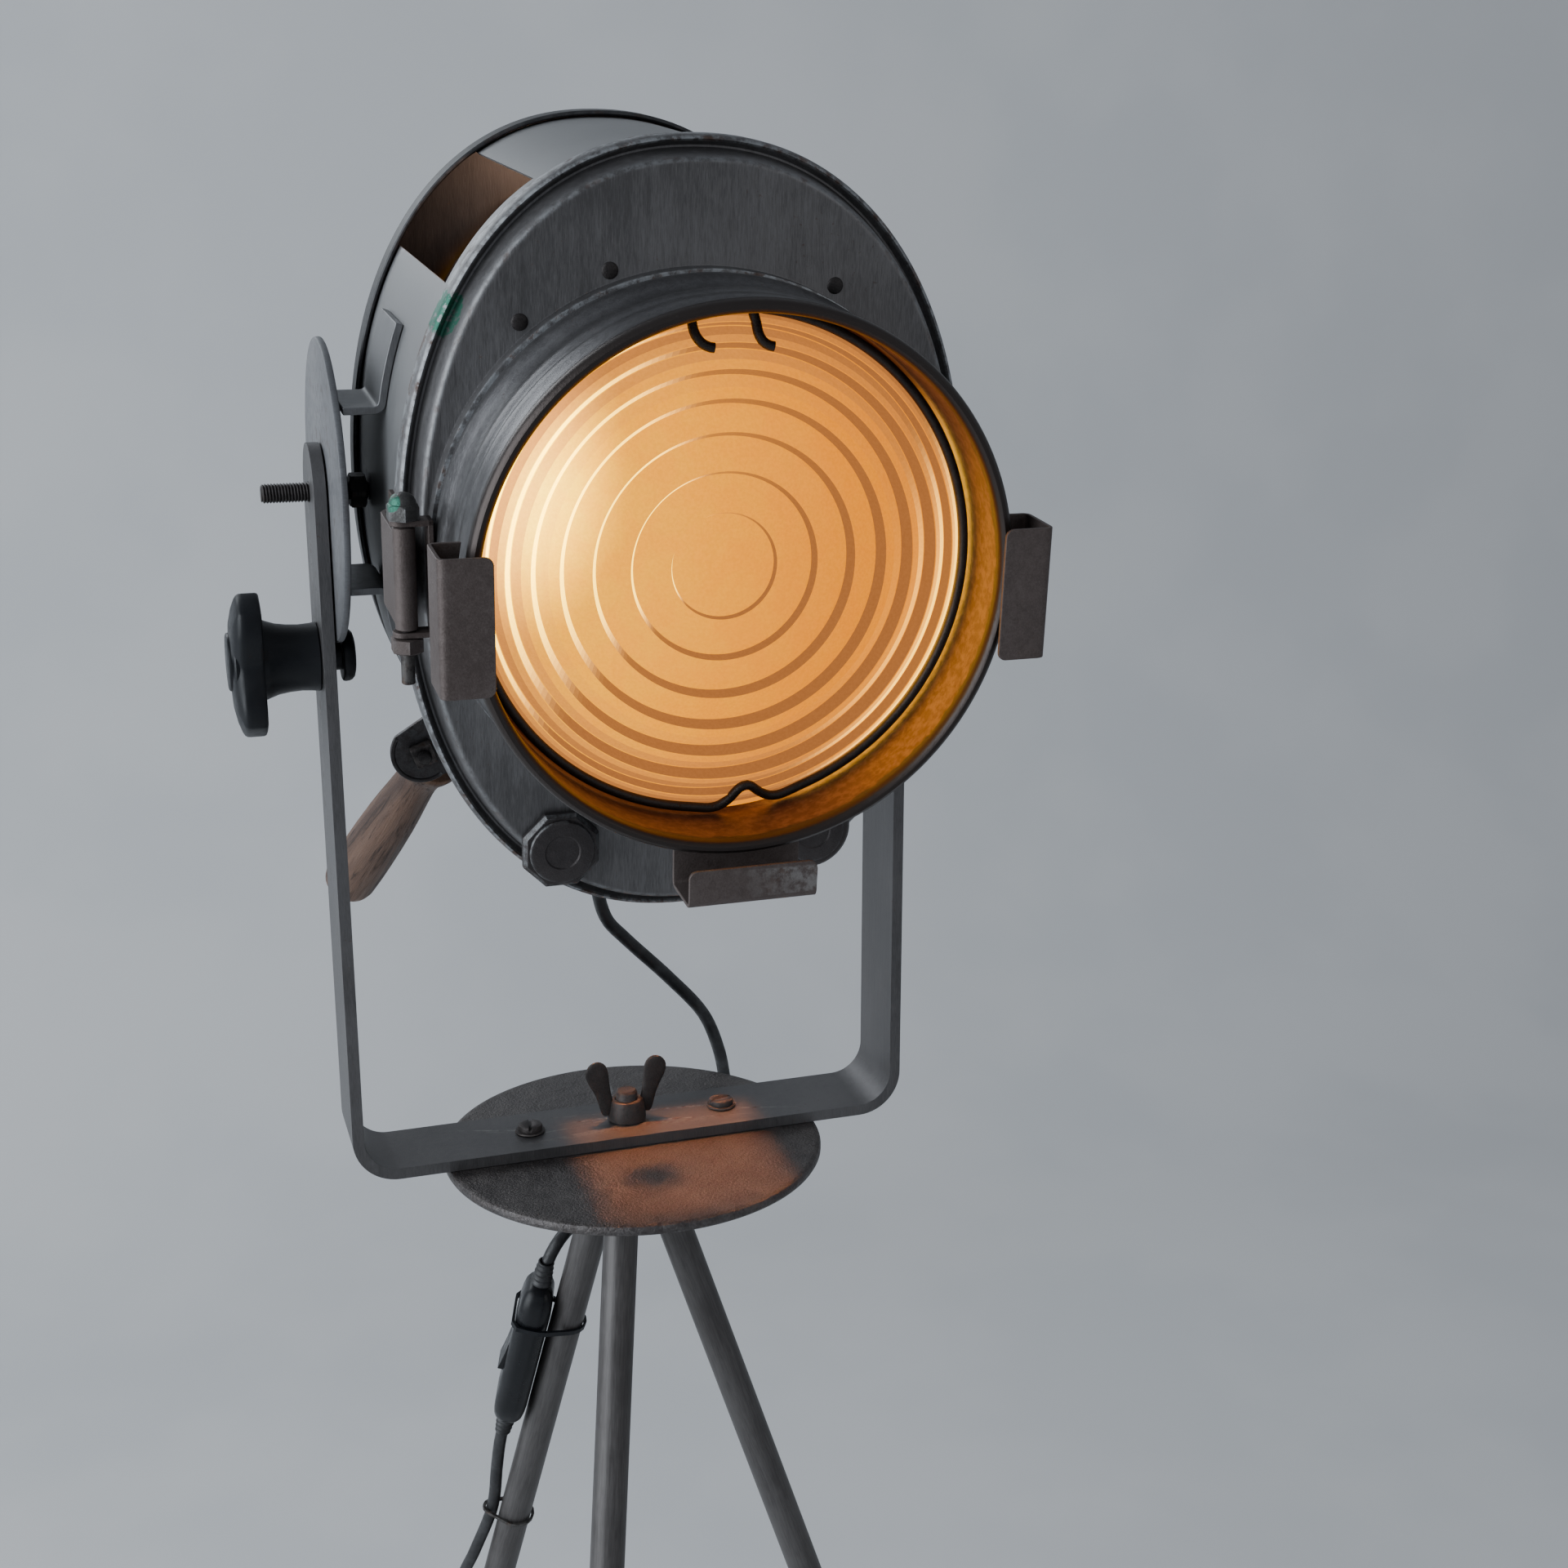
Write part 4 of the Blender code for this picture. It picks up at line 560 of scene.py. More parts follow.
def set_stage():
    data = bpy.data.cameras.new("camera")
    data.lens, data.sensor_width = 48.75, 36
    camera = add("camera", data)
    camera.location = PIVOT + Vector((-0.2138, -0.8835, 0.1197))
    camera.rotation_euler = (radians(90 - 15.7), 0, radians(-18.2))
    bpy.context.scene.camera = camera

    sweep = [(-3.2, 0)] + arc(1.55, 0.9, 0.9, -90, 0, 16) + [(2.45, 3.4)]
    bm = bmesh.new()
    rows = [[bm.verts.new((x, y, z - 0.0005)) for x in (-4.5, 4.5)] for y, z in sweep]
    for low, high in zip(rows, rows[1:]):
        bm.faces.new((low[0], low[1], high[1], high[0]))
    g = Graph("pale_floor", roughness=0.85)
    paint = g.done(g.mix(g.patch(3, 3, 0.5, 0.35, 0.65), (0.6, 0.61, 0.62), (0.64, 0.645, 0.65)))
    floor = make("studio_floor", finish_mesh(bm), paint)

    world = bpy.data.worlds.new("studio")
    bpy.context.scene.world = world
    world.use_nodes = True
    back = world.node_tree.nodes["Background"]
    back.inputs["Color"].default_value = (0.8, 0.86, 0.95, 1)
    back.inputs["Strength"].default_value = 0.38

    for name, place, aim, size, power, colour in (
        ("window", (-2.8, -0.7, 1.9), (0, 0, 1.2), 3, 130, (0.88, 0.94, 1)),
        ("fill", (1.6, -1.9, 1.9), (0, 0, 1.1), 1.6, 4.5, (1, 0.95, 0.9)),
        ("rim", (-0.9, 1.5, 2.2), (0, 0, 1.2), 0.9, 10, (0.9, 0.95, 1)),
    ):
        thing = lamp(name, "AREA", place, power, colour, size=size)
        thing.rotation_euler = (Vector(aim) - Vector(place)).to_track_quat("-Z", "Y").to_euler()

    # what escapes from the lamp's bottom slot: a warm patch on the plate
    leak = lamp("vent_glow", "AREA", PIVOT + Vector((0.0145, -0.009, -0.16)), 0.044, (1, 0.34, 0.11),
        shape="RECTANGLE", size=0.084, size_y=0.09, spread=radians(9))
    leak.rotation_euler = (radians(-14), 0, 0)
    lamp("inner_glow", "POINT", HEAD @ Vector((-0.015, -0.03, 0.131)), 0.22, (1, 0.62, 0.42),
        shadow_soft_size=0.008)


set_stage()


# ---- cords
LEG_TURNS = {"front": 0, "left": radians(120), "right": radians(-120)}


def leg_direction(turn):
    angle = LEG_TURN + turn
    flat = Vector((-sin(angle), -cos(angle), 0))
    return flat * sin(LEG_SPLAY) - UP * cos(LEG_SPLAY)


def leg_point(turn, distance):
    """A point on a leg's axis, from its top end."""
    along = leg_direction(turn)
    flat = Vector((along.x, along.y, 0)).normalized()
    return STAND + flat * LEG_TOP_R - UP * LEG_DROP + along * distance


LEFT = LEG_TURNS["left"]
ALONG = leg_direction(LEFT)
SIDE = Vector((-0.95, 0.31, 0))
SIDE = (SIDE - ALONG * SIDE.dot(ALONG)).normalized()
LEG_AXES = Matrix((SIDE, ALONG.cross(SIDE), ALONG)).transposed().to_4x4()
SWITCH_START, SWITCH_LONG, SWITCH_OFF = 0.0813, 0.086, 0.0168
TIE_OFF, WIRE_TIE_AT, LOW_TIE_AT = 0.012, 0.233, 0.72
COIL = STAND + Vector((-0.085, 0.105, -STAND.z))
COIL_IN = Vector((0.42, -0.907, 0)).normalized()
COIL_OUT = Vector((COIL_IN.y, -COIL_IN.x, 0))


def beside(distance, reach):
    return leg_point(LEFT, distance) + SIDE * reach


def tube(points, radius, sides=14):
    """A round tube along points."""
    rings = []
    heading = (points[1] - points[0]).normalized()
    normal = heading.orthogonal().normalized()
    for i, here in enumerate(points):
        ahead = (points[min(i + 1, len(points) - 1)] - points[max(i - 1, 0)]).normalized()
        normal = (normal - ahead * normal.dot(ahead)).normalized()
        across = ahead.cross(normal)
        rings.append([here + (normal * c + across * s) * radius for c, s in circle(1, sides)])
    return skin(rings, sharp=60)


def add_cord(name, points, body, replaces, blend=None, count=40, spacing=0.004, sides=14, **says):
    """A cord through points; for one that crosses a joint, blend is given and the cord's placement is baked
    into its mesh.
    """
    line = even(flow(points, count), spacing)
    flex = piece(name, tube(line, CORD_R, sides), f"cord {body} black_rubber", Matrix(), replaces)
    if blend:
        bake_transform(flex)


def on_stand(points):
    return [STAND + Vector(p) for p in points]


def add_cords():
    gland = HEAD @ Vector((*GLAND, -0.172 - GAP))
    at = mm((-5.2, 30, 115), (0, 35, 93), (12, 42, 77.3), (34.6, 52, 52.3), (54, 60, 28.3), (64, 66.5, 5),
        (69, 72, -16))
    upper = [gland] + on_stand(at)
    add_cord("flex_upper", upper, "none", "cord_upper", ("turntable", "head", upper[-2], gland),
        far_end="object", lay="hanging")

    down = (upper[-1] - upper[-2]).normalized()
    start = upper[-1] + down * 2 * GAP
    switch_top = beside(SWITCH_START, SWITCH_OFF) - ALONG * 2 * GAP
    at = mm((71, 75.3, -39.2), (65.4, 80.5, -55.8), (48.4, 80.5, -69.5), (30.6, 74.9, -72), (12, 64.3, -74.1),
        (-5.8, 49.1, -66.9), (-20.5, 36.8, -65.5), (-29.7, 31.8, -72.4))
    middle = [start, start + down * 0.01] + on_stand(at)
    middle += [switch_top - ALONG * 0.006, switch_top]
    add_cord("flex_middle", middle, "none", "cord_middle", ("tripod", "turntable", middle[5], start),
        far_end="object", lay="hanging", with_pieces=["switch_body"])

    floor = CORD_R + 3 * GAP
    near = COIL + COIL_OUT * 0.0377 + UP * floor
    lower = [beside(distance, reach) for distance, reach in ((SWITCH_START + SWITCH_LONG + GAP, SWITCH_OFF),
        (0.186, SWITCH_OFF), (0.205, 0.015), (WIRE_TIE_AT, TIE_OFF), (0.265, 0.015), (0.3, 0.019),
        (0.42, 0.023), (0.56, 0.017), (LOW_TIE_AT, TIE_OFF))]
    lower += on_stand(mm((-160, 206, -755), (-169.5, 211.5, -815), (-172.5, 212.5, -865)))
    lower += [Vector((STAND.x + x, STAND.y + y, floor + z)) for x, y, z in mm((-172.5, 211, 46),
        (-170.5, 206.5, 25), (-166, 195.5, 8), (-158.5, 177.5, 0.4))]
    lower += [near - COIL_IN * back + UP * rise for back, rise in mm((70, 0), (50, 1), (26, 4))]
    start_angle = atan2(COIL_OUT.y, COIL_OUT.x)
    turns = mm((37.7, 11.3), (37.7, 17.6), (31.3, 17.6), (31.3, 11.3), (31.3, 5), (37.7, 5))
    steps = 28
    total = len(turns) * steps
    for i in range(total + 1):
        turn = min(i // steps, len(turns) - 1)
        share = (i - turn * steps) / steps
        radius, height = turns[turn]
        if turn + 1 < len(turns) and share > 0.8:
            blend = (share - 0.8) / 0.2
            blend = blend * blend * (3 - 2 * blend)
            radius += (turns[turn + 1][0] - radius) * blend
            height += (turns[turn + 1][1] - height) * blend
        angle = start_angle + 2 * pi * i / steps
        lower.append(COIL + Vector((radius * cos(angle), radius * sin(angle), height + 0.0004)))
    out = COIL + COIL_OUT * 0.0377
    lower += [out + COIL_IN * 0.012 + UP * 0.0062, out + COIL_IN * 0.0268 + UP * 0.008]
    add_cord("flex_lower", lower, "tripod", ("cord_lower", "cord_coil"), None, 8, 0.0042, 12, far_end="plug",
        lay="coiled", with_pieces=["plug", "coil_tie"])


add_cords()


# ---- head: sheet metal
def drill(thing, x, y, low, high, radius, axis="Z", steps=32):
    outline = [(x + u, y + v) for u, v in arc(0, 0, radius, 0, 360 - 360 / steps, steps - 1)]
    cut(thing, prism(outline, low, high, axis))


def add_housing():
    rings = [oval_ring(SHELL_W, SHELL_H, inset, f) for inset, f in mm((0, -30), (0, 0), (0, 50), (0, 111.8),
        (0.4, 112.4), (1, 112.6), (9, 112.6), (9, 111), (1.8, 111), (1.6, 110.6), (1.6, 50), (1.6, 0),
        (1.6, -30))]
    shell = piece("housing_sheet", skin(rings, closed=True), "sheet head housing_steel",
        replaces="housing_shell")
    for side in (-1, 1):
        outline = [(side * x, z) for x, z in mm((36, 118), (64, 82), (96, 103), (66, 146))]
        cut(shell, prism(outline, -0.084, 0.04, "Y"))
    drill(shell, 0, 0, -0.12, 0.12, BORE, "X")
    bottom = OVAL_Z - SHELL_H / 2
    drill(shell, *GLAND, bottom - 0.01, bottom + 0.012, 0.0066)
    cut(shell, prism(rounded_box(0.009, 0.062, 0.0044, 6, 0, -0.03), bottom - 0.01, bottom + 0.012))
    shade(shell.data)

    rings = [oval_ring(COVER_W, COVER_H, inset, f) for inset, f in mm((70, -34.2), (1.8, -34.2), (1.8, -24.2),
        (1.2, -23.6), (0.5, -23.7), (0, -24.3), (0, -34.4), (0.4, -35.6), (1.4, -36.2), (13.2, -36.2),
        (14.4, -36.5), (15.6, -38), (17.2, -39.1), (19, -39.4), (20.8, -39.1), (22.4, -38), (23.6, -36.6),
        (25, -36.2), (70, -36.2))]
    cover = piece("cover_sheet", skin(rings), "cover head dark_steel", replaces="rear_cover")
    for i in range(5):
        z = OVAL_Z + 0.03 + 0.013 * i
        cut(cover, prism(rounded_box(0.058, 0.004, 0.0018, 4, 0, z), 0.02, 0.05, "Y"))
    shade(cover.data)
    hoods = []
    for i in range(5):
        z = OVAL_Z + 0.0322 + 0.013 * i
        outline = [(y, z + rise) for y, rise in mm((36.2, 0), (38.8, 0.1), (39.6, -1.2), (39.2, -4.6),
            (38.4, -4.6), (38.6, -1.2), (38.2, -0.7), (36.2, -0.7))]
        hoods.append(prism(outline, -0.0285, 0.0285, "X"))
    piece("cover_louvres", joined(*hoods), "cover head dark_steel", bevel=0.0003)
    rivets = []
    for x, z in mm((-86, 0), (86, 0), (-60, -98), (60, -98), (-60, 104), (60, 104)):
        rivets.append(moved(rivet(0.0032, 0.0014), shift(x, 0.0361, z) @ spin("X", -90)))
    for x, y in mm((-69, -88), (-69, 14), (69, -88), (69, 14)):
        turn = towards(Vector((copysign(0.843, x), 0, 0.538)))
        rivets.append(moved(rivet(0.004, 0.0016), shift(x, y, 0.0756) @ turn))
    piece("housing_rivets", joined(*rivets), "dark head housing_steel")


def rivet(radius, height):
    """A round-headed rivet that stands on its origin, along Z."""
    dome = [(radius * cos(radians(a)), height * sin(radians(a))) for a in range(0, 90, 15)]
    return lathe([(0, -0.0006), (radius, -0.0006)] + dome + [(0, height)], 24)


def add_door():
    oval = mm((0, 113.4), (0, 118.6), (0.3, 120.6), (0.9, 121.6), (1.6, 122), (2.4, 121.3), (3, 120),
        (3.8, 119.3), (4.5, 119.5), (5, 120.4), (5.3, 121.6), (5.7, 124), (6.2, 126.8), (6.8, 129),
        (7.5, 130.3), (8.4, 130.9), (9.4, 131))
    rings = [oval_ring(DOOR_W, DOOR_H, inset, f) for inset, f in oval]
    step = mm((101, 131), (100.5, 131.2), (100.4, 131.8), (100.4, 136.2), (100.2, 136.9), (99.6, 137.1),
        (93.4, 137), (93.4, 135.4), (98.8, 135.4), (98.8, 129.5))
    rings += [lens_ring(radius, f) for radius, f in step]
    back = mm((9.3, 129.5), (7.4, 126.8), (5.2, 117.6), (2, 117.6), (1.5, 113.4))
    rings += [oval_ring(DOOR_W, DOOR_H, inset, f) for inset, f in back]
    piece("door_sheet", skin(rings, closed=True), "door door housing_steel", replaces="lens_door")
    rivets = [moved(rivet(0.0031, 0.001), shift(x, -0.1309, z) @ spin("X", 90))
        for x, z in mm((-33.5, 104.7), (-65.7, 87.5), (50.2, 98.4))]
    piece("door_rivets", joined(*rivets), "dark door housing_steel")

    outside = mm((98.4, 137.4), (99.2, 139.2), (99.6, 141.2), (99.6, 143.8), (99, 146.2), (97.6, 149),
        (96.4, 151.6), (95.8, 154.2), (95.8, 157.2), (96.4, 160.2), (97.4, 162.8), (98, 165), (97.9, 167.4),
        (97.2, 169.6), (96.6, 171.2), (96.9, 172.8), (97.6, 174.4), (97.7, 176.4), (97.2, 178.6),
        (96.4, 181.2), (96.1, 184.4), (96.2, 187.6), (97, 189.4), (98, 191.2), (98.5, 193.2), (98.3, 195.2),
        (97.6, 196.7), (96.5, 197.5), (95.2, 197.5), (94.1, 196.7), (93.5, 195.3), (93.4, 193), (93.8, 190.6))
    inside = mm((94, 187), (94, 172), (94, 156.6), (87, 156.6), (87, 154.6), (94, 154.6), (94, 137.4))
    piece("hood_ring", skin([lens_ring(r, f) for r, f in outside + inside], closed=True),
        "hood door housing_steel", replaces="hood_collar")

    face = [(0, 0.0013), (LENS_ZONES[0] / 2, 0.001), (LENS_ZONES[0], 0)]
    ends = LENS_ZONES[1:] + [LENS_RADIUS - 0.0022]
    for inner, end, rise, draft in zip(LENS_ZONES, ends, LENS_RISES, LENS_DRAFT):
        top = inner + draft
        face += [(inner + 0.0002, 0), (top, rise - 0.0002), (top + 0.0003, rise),
            ((top + end) / 2, rise * 0.58), (end - 0.0001, 0.0001)]
    face += [(LENS_RADIUS - 0.0018, 0.0012), (LENS_RADIUS, 0.001), (LENS_RADIUS, -0.007), (0, -0.007)]
    rings = [lens_ring(r, LENS_TROUGH + z) if r else [(0, -LENS_TROUGH - z, LENS_Z)] for r, z in face]
    piece("lens_stepped", skin(rings, sharp=25), "glass door lens_glass", replaces="lens")

    radius, forward = 0.0913, 0.1666
    path = mm((-6.6, 83.8, 170.4), (-8.7, 84.2, 170.2), (-11.2, 85.6, 169.8), (-13.1, 88.2, 169),
        (-13.9, 91.5, 167.8))
    for i in range(141):
        degrees = 99 + 346 * i / 140
        offset = (degrees - 276) / 5.5
        kink = exp(-offset * offset * 1.9)
        shoulder = exp(-((abs(degrees - 276) - 8.5) / 3) ** 2)
        reach = radius - 0.008 * kink + 0.0005 * shoulder
        path.append((reach * cos(radians(degrees)), LENS_Z + reach * sin(radians(degrees)),
            forward + 0.0022 * kink))
    path += mm((8.9, 91.5, 167.8), (9.4, 88.2, 169), (10.8, 85.6, 169.8), (13, 84.2, 170.2),
        (14.8, 83.8, 170.4))
    line = even(flow([(x, -f, z) for x, z, f in path], 4), 0.0016)
    piece("lens_ring_wire", tube(line, 0.0018, 12), "wire door dark_steel", replaces="lens_wire")


def on_clip(mesh, turn, centre):
    """Takes a mesh made for the right-hand clip to another clip's place."""
    moved(mesh, spin("Y", turn).inverted())
    return moved(mesh, shift(centre, 0, LENS_Z) if turn == 270 else shift(0, 0, LENS_Z + centre))


def add_clips():
    wall, inner = 0.0015, 0.00075
    for name, turn, reach, lip, centre in (("clip_left", 180, 0.1085, 0.09, -0.0056),
            ("clip_right", 0, 0.1095, 0.091, -0.0056), ("clip_bottom", 270, 0.1146, 0.1, 0.0015)):
        path = rounded_path([(0.092, CLIP_BACK - inner), (reach - inner, CLIP_BACK - inner),
            (reach - inner, CLIP_FRONT + inner), (lip, CLIP_FRONT + inner)], 0.0026, 5)
        mesh = prism(strip(path, wall), -CLIP_HALF, CLIP_HALF)
        clip = piece(name + "_channel", on_clip(mesh, turn, centre), "clip door rusty_steel", replaces=name)
        hood = lathe([(0, 0.16), (0.0986, 0.16), (0.0986, 0.19), (0, 0.19)], 96)
        cut(clip, moved(hood, shift(0, 0, LENS_Z) @ spin("X", 90)))
        trim_corners(clip, turn, lip, centre)
        soften(clip, 0.00035)


def trim_corners(clip, turn, lip, centre):
    """Rounds the two free corners of a clip's front lip."""
    for end in (-1, 1):
        edge = end * CLIP_HALF
        corner = [(lip - 0.001, edge + end * 0.001), (lip - 0.001, edge - end * 0.003)]
        for step in range(7):
            a = radians(15 * step)
            corner.append((lip + 0.003 - 0.003 * cos(a), edge - end * (0.003 - 0.003 * sin(a))))
        corner.append((lip + 0.003, edge + end * 0.001))
        cut(clip, on_clip(prism(corner, CLIP_FRONT - 0.001, CLIP_FRONT + 0.003, "Y"), turn, centre))


def add_caps():
    for name, x, z, steps, turn in (("door_cap_left", -0.053, -0.1115, 8, 22.5),
            ("door_cap_right", 0.048, -0.113, 48, 0)):
        profile = mm((0, 0), (16, 0), (16, 2.2), (14.4, 3.8), (0, 3.8))
        plate = moved(lathe(profile, steps), spin("Z", turn))
        button = lathe(mm((0, 3), (12.6, 3), (12.6, 4.6), (12.2, 5.2), (11.4, 5.4), (7, 5.4), (6.4, 5),
            (0, 4.9)), 64)
        place = HEAD @ shift(x, -0.1313, z) @ spin("X", 90)
        piece(name + "_plate", plate, "cap door bar_steel", place, name, 0.0003)
        piece(name + "_button", button, "cap door bar_steel", place)


def add_hinge():
    leaf = strip(rounded_path([(HINGE_X - 0.003, HINGE_Y + 0.001), (HINGE_X - 0.003, -0.112), (-0.105, -0.1),
        (-0.105, -0.078)], 0.004, 4), 0.0018)
    piece("hinge_leaf", prism(leaf, -0.016, 0.018), "clip head housing_steel", replaces="hinge_barrel",
        bevel=0.0003)
    tube_wall = mm((2.9, -17.7), (3.6, -17.7), (4, -17.3), (4, 19.3), (3.6, 19.7), (2.9, 19.7))
    place = HEAD @ shift(HINGE_X, HINGE_Y, 0)
    piece("hinge_tube", lathe(tube_wall, 40, closed=True), "clip head housing_steel", place)
    ear = mm((-99.9, -137.4), (-110, -137.4)) + arc(-0.1108, -0.14145, 0.00405, 90, 270, 12)
    ear += mm((-110, -145.5), (-99.9, -145.5))
    for low, name in ((0.0202, "upper"), (-0.0202, "lower")):
        piece("hinge_ear_" + name, prism(ear, low, low + 0.002), "clip door rusty_steel",
            replaces="hinge_bracket" if name == "upper" else (), bevel=0.0003)
    web = mm((-101.8, -137.4), (-99.9, -137.4), (-99.9, -145.5), (-101.8, -145.5))
    piece("hinge_web", prism(web, -0.0202, 0.0222), "clip door rusty_steel", bevel=0.0003)
    hexagon = [(0.0053 / cos(radians((i * 10 + 30) % 60 - 30)), radians(i * 10)) for i in range(36)]

    def layer(z, share=1, blend=0):
        reaches = [(reach * share * (1 - blend) + 0.0053 * share * blend, a) for reach, a in hexagon]
        return [(r * cos(a), r * sin(a), z) for r, a in reaches]

    acorn = [layer(z / 1000, share, blend) for z, share, blend in ((22.3, 1, 0), (22.6, 1, 0), (26.8, 1, 0),
        (27.6, 0.97, 0.7), (27.9, 0.9, 1), (29, 0.86, 1), (30.3, 0.72, 1), (31.2, 0.5, 1),
        (31.7, 0.24, 1))] + [[(0, 0, 0.0318)]]
    foot = [layer(-0.0206, 0.9, 1), layer(-0.0209), layer(-0.0256), layer(-0.0262, 0.92, 1)]
    stem = lathe(mm((0, -38), (2.1, -38), (2.5, -37.6), (2.5, 22.6), (0, 22.6)), 24)
    piece("hinge_acorn", skin(acorn), "acorn door rusty_steel", place, "hinge_pin")
    piece("hinge_nut", skin(foot), "clip door rusty_steel", place)
    piece("hinge_stem", stem, "dark door rusty_steel", place)


# ---- head: pivots, disc, handle
def nut_rings(across, low, high):
    """The rings of a hexagon nut with both ends chamfered."""
    rings = []
    flat = across / 2
    for z, share in ((low, 0), (low + 0.0006, 1), (high - 0.0006, 1), (high, 0)):
        rings.append([])
        for i, (c, s) in enumerate(circle(1, 48)):
            corner = flat / cos(radians((i * 7.5 + 30) % 60 - 30))
            reach = flat + (corner - flat) * share
            rings[-1].append((reach * c, reach * s, z))
    return rings


def thread(low, high, radius, steps=28):
    """A screw thread along Z."""
    pitch, depth = 0.00125, 0.0006
    rings, count = [], round((high - low) / pitch * 8)
    for k in range(count + 1):
        z = low + (high - low) * k / count
        taper = min(1, (z - low) / 0.0012 + 0.2, (high - z) / 0.0012 + 0.2)
        rings.append([])
        for i, (c, s) in enumerate(circle(1, steps)):
            groove = max(0, 1 - abs((z / pitch - i / steps) % 1 - 0.5) * 2.6)
            r = (radius - depth * groove) * (0.8 + 0.2 * taper)
            rings[-1].append((r * c, r * s, z))
    return skin(rings, sharp=80)


def add_pivots():
    along = spin("Y", 90)
    disc = lathe(mm((4.4, 0), (61.3, 0), (61.8, 0.3), (62, 0.8), (62, 2.2), (61.8, 2.7), (61.3, 3), (4.4, 3)),
        160, closed=True)
    piece("disc_plate", disc, "disc head bar_steel", HEAD @ shift(DISC_X, 0, 0) @ along, "quadrant_disc")
    half_w, half_h = SHELL_W / 2 + GAP + 0.0015, SHELL_H / 2 + GAP + 0.0015
    outer = DISC_X + 0.003 + GAP
    for name, start, end in (("disc_strap_upper", 0.041, 0.074), ("disc_strap_lower", -0.031, -0.062)):
        leg = []
        for i in range(9):
            z = start + (end - start) * i / 8
            share = abs(z - OVAL_Z) / half_h
            leg.append((-half_w * (1 - share ** OVAL_POWER) ** (1 / OVAL_POWER), z))
        corner = rounded_path([(outer + 0.0008, start), leg[0], leg[2]], 0.0042, 6)
        mesh = prism(strip(corner + leg[3:], 0.003), -0.044, -0.006, "Y")
        piece(name + "_bar", mesh, "strap head bar_steel", replaces=name, bevel=0.0004)
    piece("pivot_screw", thread(0, 0.0535, 0.004), "dark head dark_steel",
        HEAD @ shift(-0.1466, 0, 0) @ along, "pivot_rod_left")
    piece("pivot_lock_nut", skin(nut_rings(0.013, 0, 0.0066)), "dark head dark_steel",
        HEAD @ shift(-0.1112, 0, 0) @ along)
    head = [(0, 0)] + [(0.0068 * sin(radians(a)), 0.0016 - 0.0016 * cos(radians(a)))
        for a in range(15, 91, 15)]
    head += [(0.0068, 0.005), (0.0066, 0.0052), (0.004, 0.0052), (0.004, 0.036), (0, 0.036)]
    outside = YOKE_INNER + BAR_T + GAP + 0.0052
    piece("pivot_bolt", lathe(head, 40), "dark head dark_steel",
        HEAD @ shift(outside, 0, 0) @ spin("Y", -90), "pivot_bolt_right")
    length = YOKE_INNER - SHELL_W / 2 - 3 * GAP
    ring = [(BORE, 0), (0.0076, 0), (0.008, 0.0004), (0.008, length - 0.0004), (0.0076, length),
        (BORE, length)]
    piece("pivot_spacer", lathe(ring, 40, closed=True), "bar head bar_steel",
        HEAD @ shift(SHELL_W / 2 + 2 * GAP, 0, 0) @ along, "pivot_spacer_right")


def add_handle():
    tab = mm((-76.2, -102), (-72.5, -106.5), (-65.5, -114.5), (-57.7, -121.5), (-62, -129))
    tab += arc(*HANDLE_BOLT, 0.014, -55, -215, 32)
    piece("handle_tab", prism(tab, 0.0125, 0.0155, "Y"), "cap head bar_steel", replaces="handle_bracket",
        bevel=0.0006)
    bead = [Vector((x, 0.013, z)) for x, z in arc(*HANDLE_BOLT, 0.0131, -52, -212, 44)]
    piece("handle_tab_rim", tube(bead, 0.0011, 12), "cap head bar_steel")
    start, end = Vector((-0.0757, 0.03, -0.13)), Vector((-0.1092, 0.1, -0.2195))
    place = HEAD @ Matrix.Translation(start) @ towards(end - start)
    length = (end - start).length
    grip = mm((0, 0), (12.5, 0), (13.6, 0.6), (14, 2), (13.8, 3.6), (13, 6), (11.3, 10), (10.1, 14),
        (9.6, 19), (9.7, 24), (10.4, 34), (11.2, 44), (11.8, 54), (12.4, 70), (12.7, 86),
        (12.8, 98)) + [(0.0126, length - 0.008), (0.0119, length - 0.0046), (0.0098, length - 0.0018),
        (0.006, length - 0.0004), (0, length)]
    grip = piece("handle_grip", lathe(grip, 72), "wood head worn_wood", place, "wooden_handle")
    cheek = prism(mm((-130, -160), (-50, -160), (-50, -80), (-130, -80)), -0.02, 0.0155 + GAP, "Y")
    cut(grip, moved(cheek, place.inverted() @ HEAD))
    shade(grip.data)
    square = [Vector((x, y, 0)) for x, y in rounded_box(0.0098, 0.0098, 0.0008, 2)]
    nut = skin([[p * s + UP * z for p in square] for s, z in ((1, 0), (1, 0.004), (0.93, 0.0048))])
    stud = thread(0.004, 0.0082, 0.003, steps=20)
    at = HEAD @ shift(HANDLE_BOLT[0], 0.0125 - GAP, HANDLE_BOLT[1]) @ spin("X", 90) @ spin("Z", 20)
    piece("handle_square_nut", nut, "rusty head rusty_steel", at, "handle_bolt")
    piece("handle_stud", stud, "dark head rusty_steel", at)


